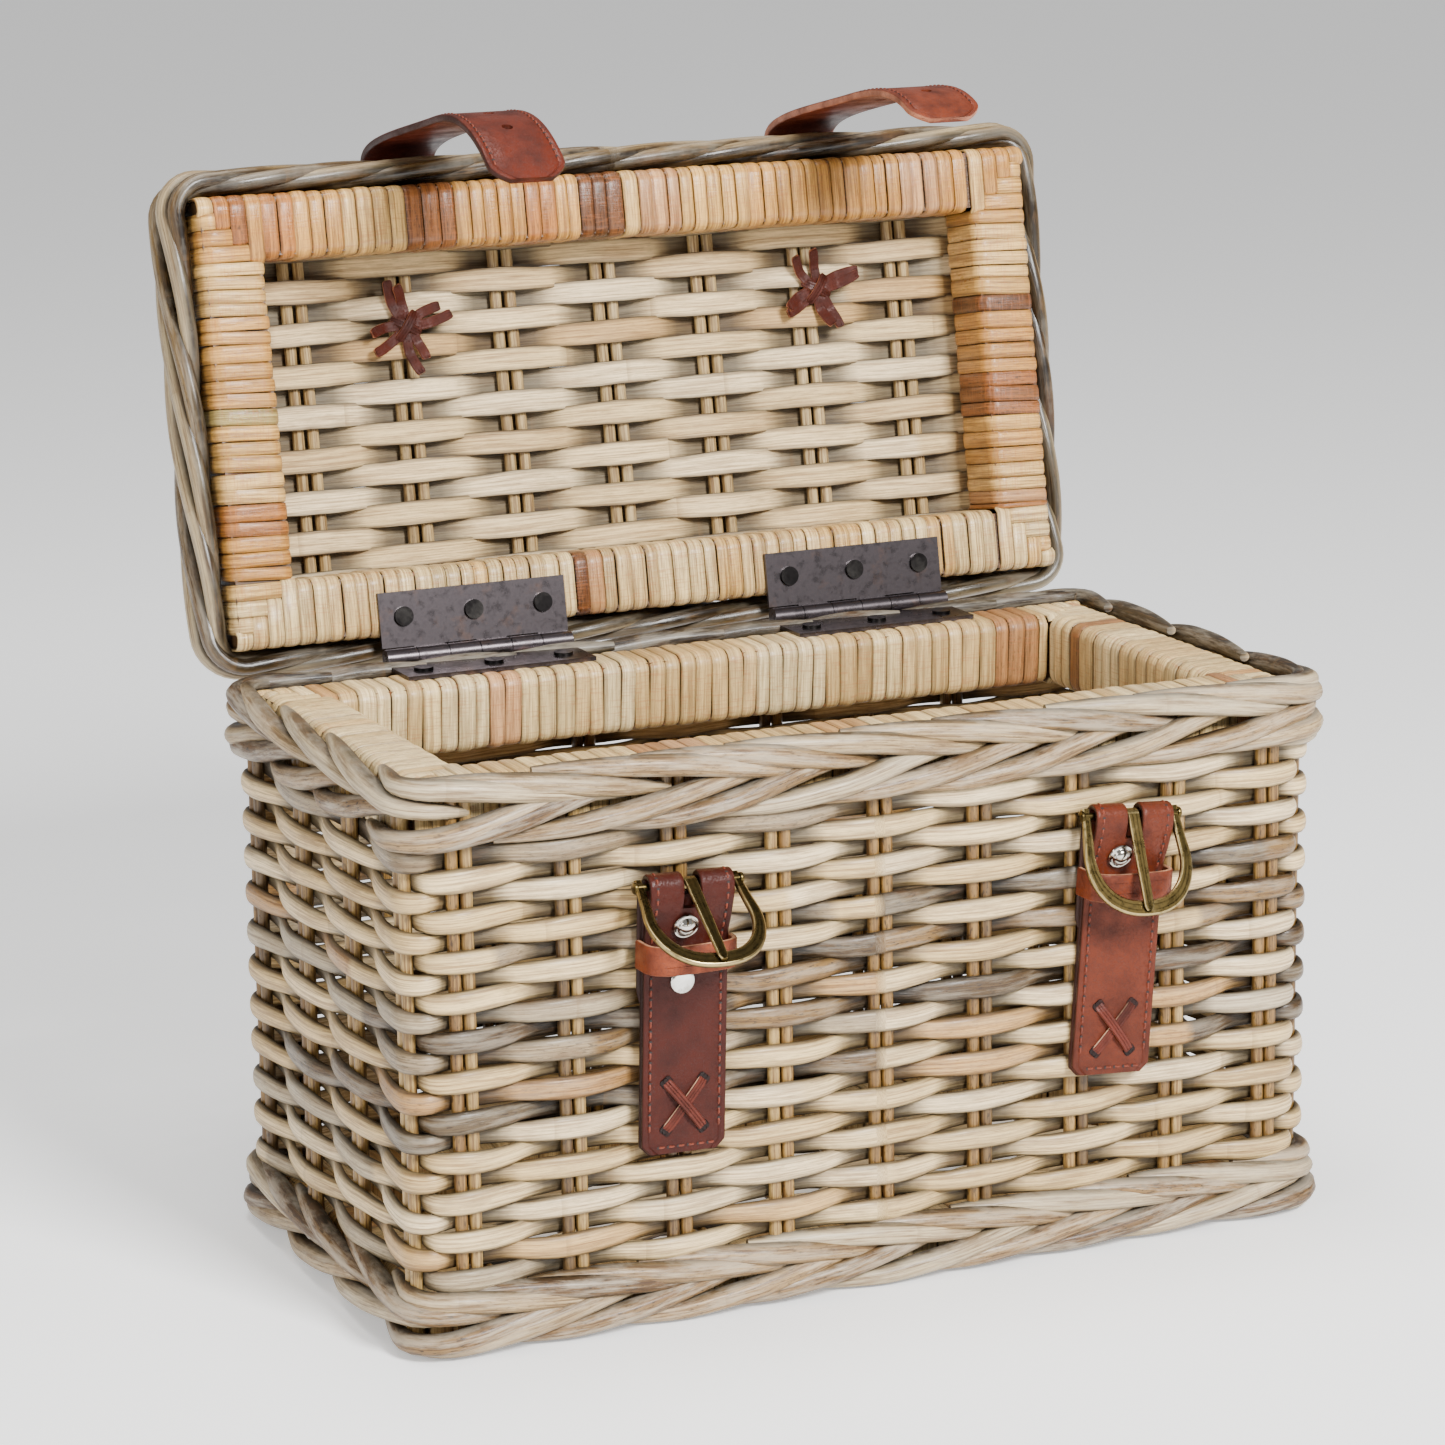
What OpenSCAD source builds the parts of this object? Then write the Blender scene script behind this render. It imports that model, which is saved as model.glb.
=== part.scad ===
// Wicker storage trunk: cane-wrapped wooden frames, a woven body on paired stakes,
// a hinged woven lid, leather straps and swinging buckles.
// Origin: middle of the underside. +X to the right, +Y to the hinge side, +Z up. Millimetres.

/* [Frames] */
// Width of the rim frame over its outer faces
frame_w = 348; // [320:1:380]
// Depth of the rim frame over its outer faces
frame_d = 170; // [150:1:190]
// Height of the body from the floor to the top of the rim
body_h = 205; // [185:1:230]
// Width of a wrapped frame bar
bar_w = 25; // [20:1:30]
// Height of a wrapped rim or lid bar
bar_h = 28; // [22:1:32]
// Height of a wrapped bar of the base frame
base_bar_h = 20; // [16:1:24]

/* [Weave] */
// Diameter of one stake
stake_d = 5; // [4:0.5:5.5]
// Number of stake pairs along the front and along the back
front_pairs = 9; // [7:1:9]
// Number of stake pairs along each side
side_pairs = 4; // [3:1:4]
// Number of stake pairs across the lid
lid_pairs = 7; // [5:1:8]
// How far the body weave stands out from the frames
weave_out = 7.5; // [7:0.5:8]
// How far the plaited borders stand out from the frames
border_out = 9.5; // [9:0.5:12]
// Height of the plaited borders of the body
border_h = 24; // [18:1:28]

/* [Lid] */
// Angle between the open lid and its closed position
lid_open = 100; // [90:1:105]

/* [Hinges] */
// Length of a butt hinge
hinge_l = 76.2; // [60:0.1:80]
// Distance from the hinge axis to the edge of a leaf
leaf_w = 25; // [20:0.5:28]
// Thickness of a leaf
leaf_t = 1.6; // [1.2:0.1:2]
// Outer radius of the hinge barrel
barrel_r = 3.5; // [3.2:0.1:4]
// Distance of the hinge axis behind the frames
axis_back = 8.3; // [8:0.1:10]

/* [Leather] */
// Width of a front strap
strap_w = 32; // [28:1:34]
// Thickness of one layer of leather
leather_t = 2; // [1.5:0.1:2.2]
// Length of a front strap below its buckle bar
strap_l = 98; // [85:1:110]
// Width of a lid strap
tail_w = 30; // [24:1:32]
// Thickness of a lid strap
tail_t = 3; // [2:0.2:3]

/* [Buckles] */
// Radius of the buckle bar
bar_r = 1.5; // [1.2:0.1:1.7]
// Angle of a hanging buckle away from the body
buckle_tilt = 28; // [26:1:32]
// How much further the left buckle stands out
left_lift = 27; // [20:1:30]

/* [Hidden] */
$fn = 48;

LEFT = 0;
RIGHT = 1;
gap = 0.1;                                 // room between pieces that lie on each other
half_w = frame_w / 2;
half_d = frame_d / 2;
long_bar = frame_w;
short_bar = frame_d - 2 * bar_w;
stake_r = stake_d / 2;
stake_out = stake_r + gap;                 // stake centre line outside the frames
stake_pitch = 40;
side_pitch = 51;
lid_pitch = 43;
rod_shift = stake_r + gap;                 // half the spacing of a pair
skin_in = 2 * stake_out;                   // inner face of the outer weave skin
sheet_t = 2.2;                             // thickness of a weave skin
border_z = body_h - border_h + 1;
rim_lip = 3;                               // how far the top border rises over the rim
foot_h = 1.5;

axis_y = half_d + axis_back;
axis_z = body_h + barrel_r + gap;
lid_z = axis_z + barrel_r + gap;           // underside of the closed lid
lid_skin_z = lid_z + bar_h;
lid_stake_z = lid_skin_z + sheet_t + stake_r + gap;
lid_outer_z = lid_stake_z + stake_r + gap;
lid_top_z = lid_outer_z + sheet_t + 0.4;
hinge_x = [-80, 82];
knuckles = 6;
knuckle_l = hinge_l / knuckles;
knuckle_gap = 0.3;
pin_r = 1.5;
running_gap = 0.05;
screw_pitch = 28.5;
screw_in = 15.5;                           // screw row to hinge axis
screw_r = 1.6;
screw_l = 14;
head_r = 3.7;
head_h = 1.2;

strap_x = [-79, 96.5];                     // middle of each front strap at its bar
strap_lean = [1.8, 4.3];                   // straps hang slightly askew, top to the right
bar_z = [162, 165.5];
sleeve_r = 2.4;
loop_in = sleeve_r + 0.35;
loop_out = loop_in + leather_t;
bar_y = -half_d - weave_out - 0.3 - loop_out;
strap_face = loop_in - leather_t - 0.2;    // front face of the doubled strap
buckle_l = 38;
buckle_t = 2.4;
keeper_h = 10;
keeper_drop = 20;                          // top of the keeper below the bar
keeper_face = -8.85;

tail_x = [-79, 93.5];                      // middle of each lid strap
tail_mid_w = axis_z - lid_top_z - 0.2 - tail_t / 2;
knot_at = [[-86.6, 125.5], [89.2, 127.8]]; // across the lid, out from the hinge axis
arch_curve = [[188.4, tail_mid_w], [199, tail_mid_w], [197, -5], [198.5, 40.7]];
tip_curves = [
    [[198.5, 43.2], [198.5, 62], [192, 80], [171, 94]],
    [[198.5, 43.2], [198.5, 62], [197, 78], [184, 90]]
];
curve_steps = 16;

// --- shared shapes ---

module rounded(w, d, r) {
    square([w - 2 * r, d], center = true);
    square([w, d - 2 * r], center = true);
    for (x = [-1, 1], y = [-1, 1])
        translate([x * (w / 2 - r), y * (d / 2 - r)]) circle(r);
}

// Band around the frames, from one distance outside them to another
module band(inner, outer, z0, z1) {
    translate([0, 0, z0]) linear_extrude(z1 - z0) difference() {
        rounded(frame_w + 2 * outer, frame_d + 2 * outer, 1.25 * outer);
        rounded(frame_w + 2 * inner, frame_d + 2 * inner, 1.25 * inner);
    }
}

module box(x0, x1, y0, y1, z0, z1)
    translate([x0, y0, z0]) cube([x1 - x0, y1 - y0, z1 - z0]);

// One wrapped bar of a rectangular frame
module frame_bar(side, z0, h, colour) {
    color(colour) {
        if (side == "front") box(-half_w, half_w, -half_d, -half_d + bar_w, z0, z0 + h);
        if (side == "back") box(-half_w, half_w, half_d - bar_w, half_d, z0, z0 + h);
        if (side == "left") box(-half_w, -half_w + bar_w, -short_bar / 2, short_bar / 2, z0, z0 + h);
        if (side == "right") box(half_w - bar_w, half_w, -short_bar / 2, short_bar / 2, z0, z0 + h);
    }
}

module open_lid()
    translate([0, axis_y, axis_z]) rotate([-lid_open, 0, 0]) translate([0, -axis_y, -axis_z]) children();

// --- woven body ---

module base_panel() color("tan")
    box(-half_w + bar_w, half_w - bar_w, -half_d + bar_w, half_d - bar_w, 0, 8);

module stake_pair()
    for (s = [-1, 1]) translate([s * rod_shift, 0, 0])
        cylinder(r = stake_r, h = body_h - foot_h - rim_lip);

module stake_row(pairs, pitch)
    for (i = [0 : pairs - 1])
        translate([(i - (pairs - 1) / 2) * pitch, 0, foot_h + gap]) stake_pair();

module long_stakes(side) color("peru")
    translate([0, side * (half_d + stake_out), 0]) stake_row(front_pairs, stake_pitch);

module side_stakes(side) color("peru")
    translate([side * (half_w + stake_out), 0, 0]) rotate([0, 0, 90]) stake_row(side_pairs, side_pitch);

module outer_skin() band(skin_in, weave_out, border_h + gap, border_z - gap);

// Weave of a long wall: the rounds outside the stakes and the flats inside them
module long_weave(side) color("wheat") {
    intersection() {
        outer_skin();
        translate([0, side * (half_d + 10), body_h / 2]) cube([500, 30, body_h], center = true);
    }
    translate([0, side * (half_d - sheet_t / 2), 0])
        box(-half_w, half_w, -sheet_t / 2, sheet_t / 2, base_bar_h + gap, body_h - bar_h - 10);
}

module side_weave(side) color("wheat") {
    intersection() {
        outer_skin();
        translate([side * half_w, 0, body_h / 2]) cube([60, frame_d - 10 - gap, body_h], center = true);
    }
    translate([side * (half_w - sheet_t / 2), 0, 0])
        box(-sheet_t / 2, sheet_t / 2, -half_d + sheet_t + gap, half_d - sheet_t - gap,
            base_bar_h + gap, body_h - bar_h - 10);
}

// The top border lies outside the stakes and over their ends, and stays low behind the hinges
module top_border() color("silver") {
    lip_z = body_h - rim_lip + 1.2;
    band(skin_in, border_out, border_z, lip_z);
    difference() {
        band(0.4, border_out, lip_z, body_h + rim_lip);
        box(-half_w - 20, half_w + 20, half_d - 1, half_d + 20, body_h - 0.3, body_h + 20);
    }
}

module bottom_border() color("silver") {
    band(0.4, border_out, 0, foot_h);
    band(skin_in, border_out, foot_h, border_h);
}

// --- lid ---

module lid_bar(side) open_lid() frame_bar(side, lid_z, bar_h, "goldenrod");

module lid_stakes() color("peru") open_lid()
    for (i = [0 : lid_pairs - 1], s = [-1, 1])
        translate([(i - (lid_pairs - 1) / 2) * lid_pitch + s * rod_shift, half_d, lid_stake_z])
            rotate([90, 0, 0]) cylinder(r = stake_r, h = frame_d);

module lid_weave() color("wheat") open_lid() {
    box(-half_w, half_w, -half_d, half_d, lid_skin_z, lid_skin_z + sheet_t);
    box(-half_w, half_w, -half_d, half_d, lid_outer_z, lid_top_z);
}

module lid_border() color("silver") open_lid()
    band(0.4, border_out, lid_z + 6.4, lid_outer_z);

// --- hinges ---

// Leaf along +X from the hinge centre, flat on a face below the axis; owns every second knuckle
module leaf(first) difference() {
    union() {
        box(-hinge_l / 2, hinge_l / 2, -leaf_w, -barrel_r - 0.4, 0, leaf_t);
        for (i = [first : 2 : knuckles - 1])
            translate([-hinge_l / 2 + i * knuckle_l + knuckle_gap / 2, 0, 0]) {
                box(0, knuckle_l - knuckle_gap, -barrel_r - 1, 0, 0, leaf_t);
                translate([0, 0, barrel_r]) rotate([0, 90, 0])
                    cylinder(r = barrel_r, h = knuckle_l - knuckle_gap);
            }
    }
    translate([-hinge_l, 0, barrel_r]) rotate([0, 90, 0])
        cylinder(r = pin_r + running_gap, h = 2 * hinge_l);
    for (i = [-1 : 1])
        translate([i * screw_pitch, -screw_in, -1]) cylinder(r = screw_r + 0.3, h = leaf_t + 2);
}

module body_leaf(side) color("dimgray")
    translate([hinge_x[side], axis_y, body_h + gap]) leaf(0);

module lid_leaf(side) color("dimgray") open_lid()
    translate([hinge_x[side], axis_y, lid_z - gap]) mirror([0, 0, 1]) leaf(1);

module hinge_pin(side) color("gray")
    translate([hinge_x[side] - hinge_l / 2, axis_y, axis_z]) rotate([0, 90, 0])
        cylinder(r = pin_r, h = hinge_l);

// Three screws with their heads on a leaf and their shanks in the bar below it
module leaf_screws()
    for (i = [-1 : 1]) translate([i * screw_pitch, -screw_in, leaf_t]) {
        cylinder(r = head_r, h = head_h);
        translate([0, 0, -screw_l]) cylinder(r = screw_r, h = screw_l);
    }

module body_hinge_screws() color("black")
    for (x = hinge_x) translate([x, axis_y, body_h + gap]) leaf_screws();

module lid_hinge_screws() color("black") open_lid()
    for (x = hinge_x) translate([x, axis_y, lid_z - gap]) mirror([0, 0, 1]) leaf_screws();

// --- front straps: drawn around the middle of the buckle bar, strap hanging along -Z ---

module at_bar(side)
    translate([strap_x[side], bar_y, bar_z[side]]) rotate([0, strap_lean[side], 0]) children();

module along_x(w) rotate([90, 0, 90]) translate([0, 0, -w / 2]) linear_extrude(w) children();

// Doubled strap with its front layer springing out to the loop
module strap_section() polygon([
    [loop_out, 0], [loop_out, -strap_l], [strap_face, -strap_l], [strap_face, -20],
    [-loop_out, -6], [-loop_out, 0], [-loop_in, 0], [-loop_in, -5], [loop_in, -17], [loop_in, 0]
]);

// Fold of the strap over the buckle bar
module strap_loop() intersection() {
    rotate([0, 90, 0]) difference() {
        cylinder(r = loop_out, h = strap_w, center = true);
        cylinder(r = loop_in, h = strap_w + 2, center = true);
    }
    box(-strap_w, strap_w, -10, 10, 0, 10);
}

module front_strap(side) color("saddlebrown") at_bar(side) difference() {
    union() {
        along_x(strap_w) strap_section();
        strap_loop();
    }
    box(-3.4, 3.4, -loop_out - 1, loop_in - 0.1, -11, 6);
    box(-3.4, 3.4, -1, loop_out + 1, 0.5, 6);
    for (s = [-1, 1]) translate([s * strap_w / 2, 0, -strap_l]) rotate([0, 45, 0])
        cube([6, 20, 6], center = true);
}

module keeper(side) color("sienna") at_bar(side)
    translate([0, 0, -keeper_drop - keeper_h]) linear_extrude(keeper_h) difference() {
        translate([-strap_w / 2 - 1.8, keeper_face]) square([strap_w + 3.6, loop_out - keeper_face]);
        translate([-strap_w / 2, keeper_face + 1.8]) square([strap_w, 30]);
    }

// Flat horseshoe in the X-Z plane, bar along X
module horseshoe() union() {
    rotate([90, 0, 0]) linear_extrude(buckle_t, center = true) difference() {
        union() {
            polygon([[-20.3, 1.5], [20.3, 1.5], [22, -16], [-22, -16]]);
            intersection() {
                translate([0, 22 - buckle_l]) circle(22);
                translate([-30, -buckle_l - 1]) square([60, 23]);
            }
        }
        polygon([[-16.6, 3], [16.6, 3], [16.8, -15.2], [-16.8, -15.2]]);
        translate([0, -15.2]) circle(16.8);
    }
    translate([-20, 0, 0]) rotate([0, 90, 0]) cylinder(r = bar_r, h = 40);
}

function tilt(side) = -buckle_tilt - (side == LEFT ? left_lift : 0);

module buckle(side) color("darkgoldenrod") at_bar(side) rotate([tilt(side), 0, 0]) horseshoe();

module tongue(side) color("darkgoldenrod") at_bar(side) rotate([tilt(side), 0, 0]) difference() {
    union() {
        translate([-2.6, 0, 0]) rotate([0, 90, 0]) cylinder(r = sleeve_r, h = 5.2);
        box(-2.5, 2.5, -3, -1.5, -buckle_l + 1.5, 0);
    }
    translate([-5, 0, 0]) rotate([0, 90, 0]) cylinder(r = bar_r + running_gap, h = 10);
}

// Domed rivets under the tongues and one flat rivet below the left keeper
module strap_rivets() color("gainsboro") {
    for (side = [LEFT, RIGHT]) at_bar(side)
        translate([-1.5 - 2.5 * side, -3.2, -15]) rotate([-90, 0, 0]) {
            cylinder(r = 4, h = 4.4);
            translate([0, 0, 0.4]) sphere(r = 2.4);
        }
    at_bar(LEFT) translate([-1.5, strap_face, -keeper_drop - keeper_h - 5]) rotate([90, 0, 0])
        cylinder(r = 4.3, h = 0.8);
}

// Crossed thongs that lace each front strap to the weave
module strap_lacing() color("maroon")
    for (side = [LEFT, RIGHT]) at_bar(side)
        translate([0, strap_face - 0.6, -strap_l + 18]) for (a = [-39, 39])
            rotate([0, a, 0]) cube([3.7, 1.2, 24], center = true);

// --- lid straps: curves run out from the hinge axis and down through the lid ---

function bezier(p, t) = let (s = 1 - t)
    s * s * s * p[0] + 3 * s * s * t * p[1] + 3 * s * t * t * p[2] + t * t * t * p[3];
function slope(p, t) = let (s = 1 - t)
    3 * s * s * (p[1] - p[0]) + 6 * s * t * (p[2] - p[1]) + 3 * t * t * (p[3] - p[2]);
function side_point(p, t, off) = let (d = slope(p, t))
    bezier(p, t) + off * [-d[1], d[0]] / norm(d);
function lid_yz(q) = [axis_y - q[0], axis_z - q[1]];

module curved_strap(side, curve) color("brown") open_lid()
    translate([tail_x[side], 0, 0]) along_x(tail_w) polygon(concat(
        [for (i = [0 : curve_steps]) lid_yz(side_point(curve, i / curve_steps, tail_t / 2))],
        [for (i = [curve_steps : -1 : 0]) lid_yz(side_point(curve, i / curve_steps, -tail_t / 2))]
    ));

module lid_strap(side) color("brown") open_lid()
    translate([tail_x[side], 0, lid_top_z + 0.2])
        box(-tail_w / 2, tail_w / 2, axis_y - 185.6, axis_y - 100, 0, tail_t);

// Lace tied in a star inside the lid, below the weave
module lace_knot(side) color("maroon") open_lid()
    translate([knot_at[side][0], axis_y - knot_at[side][1], lid_skin_z - 3.1])
        for (i = [0 : 3]) rotate([0, 0, 45 * i]) cube([26 - i, 4, 6 - 0.4 * i], center = true);

// --- nodes ---

frame_bar("front", body_h - bar_h, bar_h, "burlywood");  // rim_front
frame_bar("back", body_h - bar_h, bar_h, "burlywood");  // rim_back
frame_bar("left", body_h - bar_h, bar_h, "burlywood");  // rim_left
frame_bar("right", body_h - bar_h, bar_h, "burlywood");  // rim_right
frame_bar("front", 0, base_bar_h, "burlywood");  // base_front
frame_bar("back", 0, base_bar_h, "burlywood");  // base_back
frame_bar("left", 0, base_bar_h, "burlywood");  // base_left
frame_bar("right", 0, base_bar_h, "burlywood");  // base_right
base_panel();
long_stakes(-1);  // stakes_front
long_stakes(1);  // stakes_back
side_stakes(-1);  // stakes_left
side_stakes(1);  // stakes_right
long_weave(-1);  // weave_front
long_weave(1);  // weave_back
side_weave(-1);  // weave_left
side_weave(1);  // weave_right
top_border();
bottom_border();
lid_bar("front");  // lid_frame_front
lid_bar("back");  // lid_frame_back
lid_bar("left");  // lid_frame_left
lid_bar("right");  // lid_frame_right
lid_stakes();
lid_weave();
lid_border();
body_leaf(LEFT);  // hinge_left_body_leaf
body_leaf(RIGHT);  // hinge_right_body_leaf
lid_leaf(LEFT);  // hinge_left_lid_leaf
lid_leaf(RIGHT);  // hinge_right_lid_leaf
hinge_pin(LEFT);  // hinge_left_pin
hinge_pin(RIGHT);  // hinge_right_pin
body_hinge_screws();
lid_hinge_screws();
front_strap(LEFT);  // front_strap_left
front_strap(RIGHT);  // front_strap_right
keeper(LEFT);  // keeper_left
keeper(RIGHT);  // keeper_right
buckle(LEFT);  // buckle_left
buckle(RIGHT);  // buckle_right
tongue(LEFT);  // tongue_left
tongue(RIGHT);  // tongue_right
strap_rivets();
strap_lacing();
lid_strap(LEFT);  // lid_strap_left
lid_strap(RIGHT);  // lid_strap_right
curved_strap(LEFT, arch_curve);  // strap_arch_left
curved_strap(RIGHT, arch_curve);  // strap_arch_right
curved_strap(LEFT, tip_curves[LEFT]);  // strap_tip_left
curved_strap(RIGHT, tip_curves[RIGHT]);  // strap_tip_right
lace_knot(LEFT);  // lace_knot_left
lace_knot(RIGHT);  // lace_knot_right
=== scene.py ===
import math

import bpy
import numpy as np
from mathutils import Matrix, Vector


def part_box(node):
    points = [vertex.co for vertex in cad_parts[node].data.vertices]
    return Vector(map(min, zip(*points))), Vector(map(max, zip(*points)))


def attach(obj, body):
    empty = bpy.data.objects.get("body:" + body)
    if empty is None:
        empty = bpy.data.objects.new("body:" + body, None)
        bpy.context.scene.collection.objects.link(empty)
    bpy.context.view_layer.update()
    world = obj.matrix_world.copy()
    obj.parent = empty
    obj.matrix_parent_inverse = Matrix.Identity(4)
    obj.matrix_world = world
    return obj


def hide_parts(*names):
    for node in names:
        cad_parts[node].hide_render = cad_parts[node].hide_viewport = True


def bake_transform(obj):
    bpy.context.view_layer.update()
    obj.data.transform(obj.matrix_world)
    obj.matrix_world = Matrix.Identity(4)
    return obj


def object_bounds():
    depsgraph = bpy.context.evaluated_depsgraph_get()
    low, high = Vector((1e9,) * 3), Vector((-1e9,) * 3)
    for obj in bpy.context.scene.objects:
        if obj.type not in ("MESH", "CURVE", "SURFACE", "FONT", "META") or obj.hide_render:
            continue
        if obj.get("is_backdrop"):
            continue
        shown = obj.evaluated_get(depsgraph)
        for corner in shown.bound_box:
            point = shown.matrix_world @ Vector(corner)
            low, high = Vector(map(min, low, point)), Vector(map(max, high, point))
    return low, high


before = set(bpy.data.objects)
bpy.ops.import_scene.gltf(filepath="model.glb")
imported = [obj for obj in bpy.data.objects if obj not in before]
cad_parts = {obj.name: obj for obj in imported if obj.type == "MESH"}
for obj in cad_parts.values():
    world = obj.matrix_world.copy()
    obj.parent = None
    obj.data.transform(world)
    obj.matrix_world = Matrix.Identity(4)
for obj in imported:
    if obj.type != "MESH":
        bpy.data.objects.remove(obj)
cad_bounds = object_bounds()

# The pieces are drawn in millimetres, in the CAD frame, and scaled to metres when built. The floor,
# lights and camera are in metres.
MM = 0.001


def node_box(node):
    low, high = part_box(node)
    return np.array(low) / MM, np.array(high) / MM


# ---------------------------------------------------------------- dimensions
rim_low, rim_high = node_box("rim_front")
HALF_W = rim_high[0]
HALF_D = -rim_low[1]
BODY_H = rim_high[2]
BAR_H = rim_high[2] - rim_low[2]
BAR_W = rim_high[1] - rim_low[1]
BASE_H = node_box("base_front")[1][2]
pin_low, pin_high = node_box("hinge_left_pin")
AXIS_Y = (pin_low[1] + pin_high[1]) / 2
AXIS_Z = (pin_low[2] + pin_high[2]) / 2
LID_OPEN = math.radians(100)
LID_Z = AXIS_Z + 3.6
LID_SKIN_Z = LID_Z + BAR_H
LID_STAKE_Z = LID_SKIN_Z + 4.8
LID_TOP_Z = LID_SKIN_Z + 10.0

STAKE_OUT = 2.6
STAKE_R = 2.3
FRONT_X = np.arange(-4, 5) * 40.0
SIDE_Y = np.arange(-1.5, 2) * 51.0
LID_X = np.arange(-3, 4) * 43.0

STRAP_X = (-79.0, 96.5)
STRAP_LEAN = (1.8, 4.3)
BAR_Z = (162.0, 165.5)
BAR_Y = -97.55
BUCKLE_TILT = (55.0, 28.0)
STRAP_W = 32.0
STRAP_L = 98.0
TAIL_X = (-79.0, 93.5)
TAIL_W = 30.0
SIDES = ("left", "right")
ALONG_X = (1, 0, 0)
ALONG_Y = (0, 1, 0)


def turned(point, angle, axis):
    """Turns about an axis through a point."""
    move = Matrix.Translation(Vector(point))
    return move @ Matrix.Rotation(angle, 4, axis) @ move.inverted()


OPEN_LID = turned((0, AXIS_Y, AXIS_Z), -LID_OPEN, "X")


def at_bar(side):
    place = Matrix.Translation(Vector((STRAP_X[side], BAR_Y, BAR_Z[side])))
    return place @ Matrix.Rotation(math.radians(STRAP_LEAN[side]), 4, "Y")


def at_buckle(side):
    """The bar's place, turned with the buckle."""
    return at_bar(side) @ Matrix.Rotation(math.radians(-BUCKLE_TILT[side]), 4, "X")


def on_lid(v, w, x=0.0):
    """Rest position in metres of a lid point v out from the hinge axis and w towards the inside."""
    point = OPEN_LID @ Vector((x, AXIS_Y - v, AXIS_Z - w))
    return tuple(c * MM for c in point)


# ---------------------------------------------------------------- colours
def srgb(r, g, b):
    c = np.array([r, g, b]) / 255.0
    return np.where(c < 0.04045, c / 12.92, ((c + 0.055) / 1.055) ** 2.4)


CREAM = [srgb(232, 210, 168), srgb(224, 200, 154), srgb(238, 220, 186), srgb(216, 190, 142)]
TAN = [srgb(194, 156, 102), srgb(180, 140, 88), srgb(206, 172, 120)]
GREY = [srgb(176, 163, 140), srgb(150, 134, 110), srgb(196, 184, 164)]
BROWN = [srgb(104, 80, 42), srgb(76, 58, 33), srgb(126, 98, 56), srgb(94, 79, 57)]
PANEL = [srgb(236, 214, 174), srgb(226, 202, 158), srgb(242, 224, 190), srgb(214, 188, 144)]
STRAW = [srgb(234, 210, 160), srgb(226, 198, 146), srgb(240, 220, 176), srgb(216, 186, 132)]
STRAW_ODD = [srgb(200, 158, 106), srgb(206, 162, 122), srgb(178, 130, 86)]
HONEY = [srgb(222, 178, 106), srgb(212, 162, 90), srgb(230, 192, 126), srgb(200, 148, 78)]
HONEY_ODD = [
    srgb(192, 128, 66), srgb(112, 70, 40), srgb(206, 158, 112), srgb(190, 172, 112), srgb(158, 100, 54),
]
STAKE = [srgb(162, 132, 80), srgb(140, 110, 62), srgb(178, 150, 98), srgb(112, 90, 58)]
LID_STAKE = [srgb(204, 182, 140), srgb(184, 160, 116), srgb(160, 138, 98)]
BORDER = [
    srgb(172, 152, 120), srgb(128, 102, 66), srgb(190, 176, 150), srgb(102, 78, 48), srgb(156, 132, 98),
]
LID_BORDER = [srgb(158, 138, 104), srgb(130, 108, 70), srgb(182, 166, 136), srgb(102, 82, 52)]


def aged(colour):
    """Warms a cane colour and adds its age, from 0 on pale cane to 1 on dark cane."""
    shine = np.dot(colour, (0.21, 0.72, 0.07))
    return np.append(colour * (1.0, 0.925, 0.77), np.clip((0.44 - shine) / 0.3, 0, 1))


# ---------------------------------------------------------------- mesh building
def unit(v):
    return v / np.maximum(np.linalg.norm(v, axis=-1, keepdims=True), 1e-9)


def dice(name):
    """A fixed random sequence for one piece."""
    return np.random.default_rng(sum((i + 3) * ord(c) for i, c in enumerate(name)))


def four(tint):
    """A tint with its age; plain colours are new."""
    tint = np.asarray(tint, float)
    if tint.shape[-1] == 4:
        return tint
    return np.concatenate([tint, 0 * tint[..., :1]], axis=-1)


def ring_quads(n, m, closed):
    """Quads over n rings of m points, from each ring to the next."""
    i = np.arange(n if closed else n - 1)[:, None]
    j = np.arange(m)[None, :]
    i2 = (i + 1) % n
    j2 = (j + 1) % m
    return np.stack([i * m + j, i * m + j2, i2 * m + j2, i2 * m + j], axis=-1).reshape(-1, 4)


def cap_tris(n, m):
    """Fans over the first and last ring, from two points that follow the rings."""
    k = np.arange(m)
    k2 = (k + 1) % m
    last = (n - 1) * m
    start = np.stack([np.full(m, n * m), k2, k], axis=-1)
    end = np.stack([np.full(m, n * m + 1), last + k, last + k2], axis=-1)
    return np.concatenate([start, end])


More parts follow.
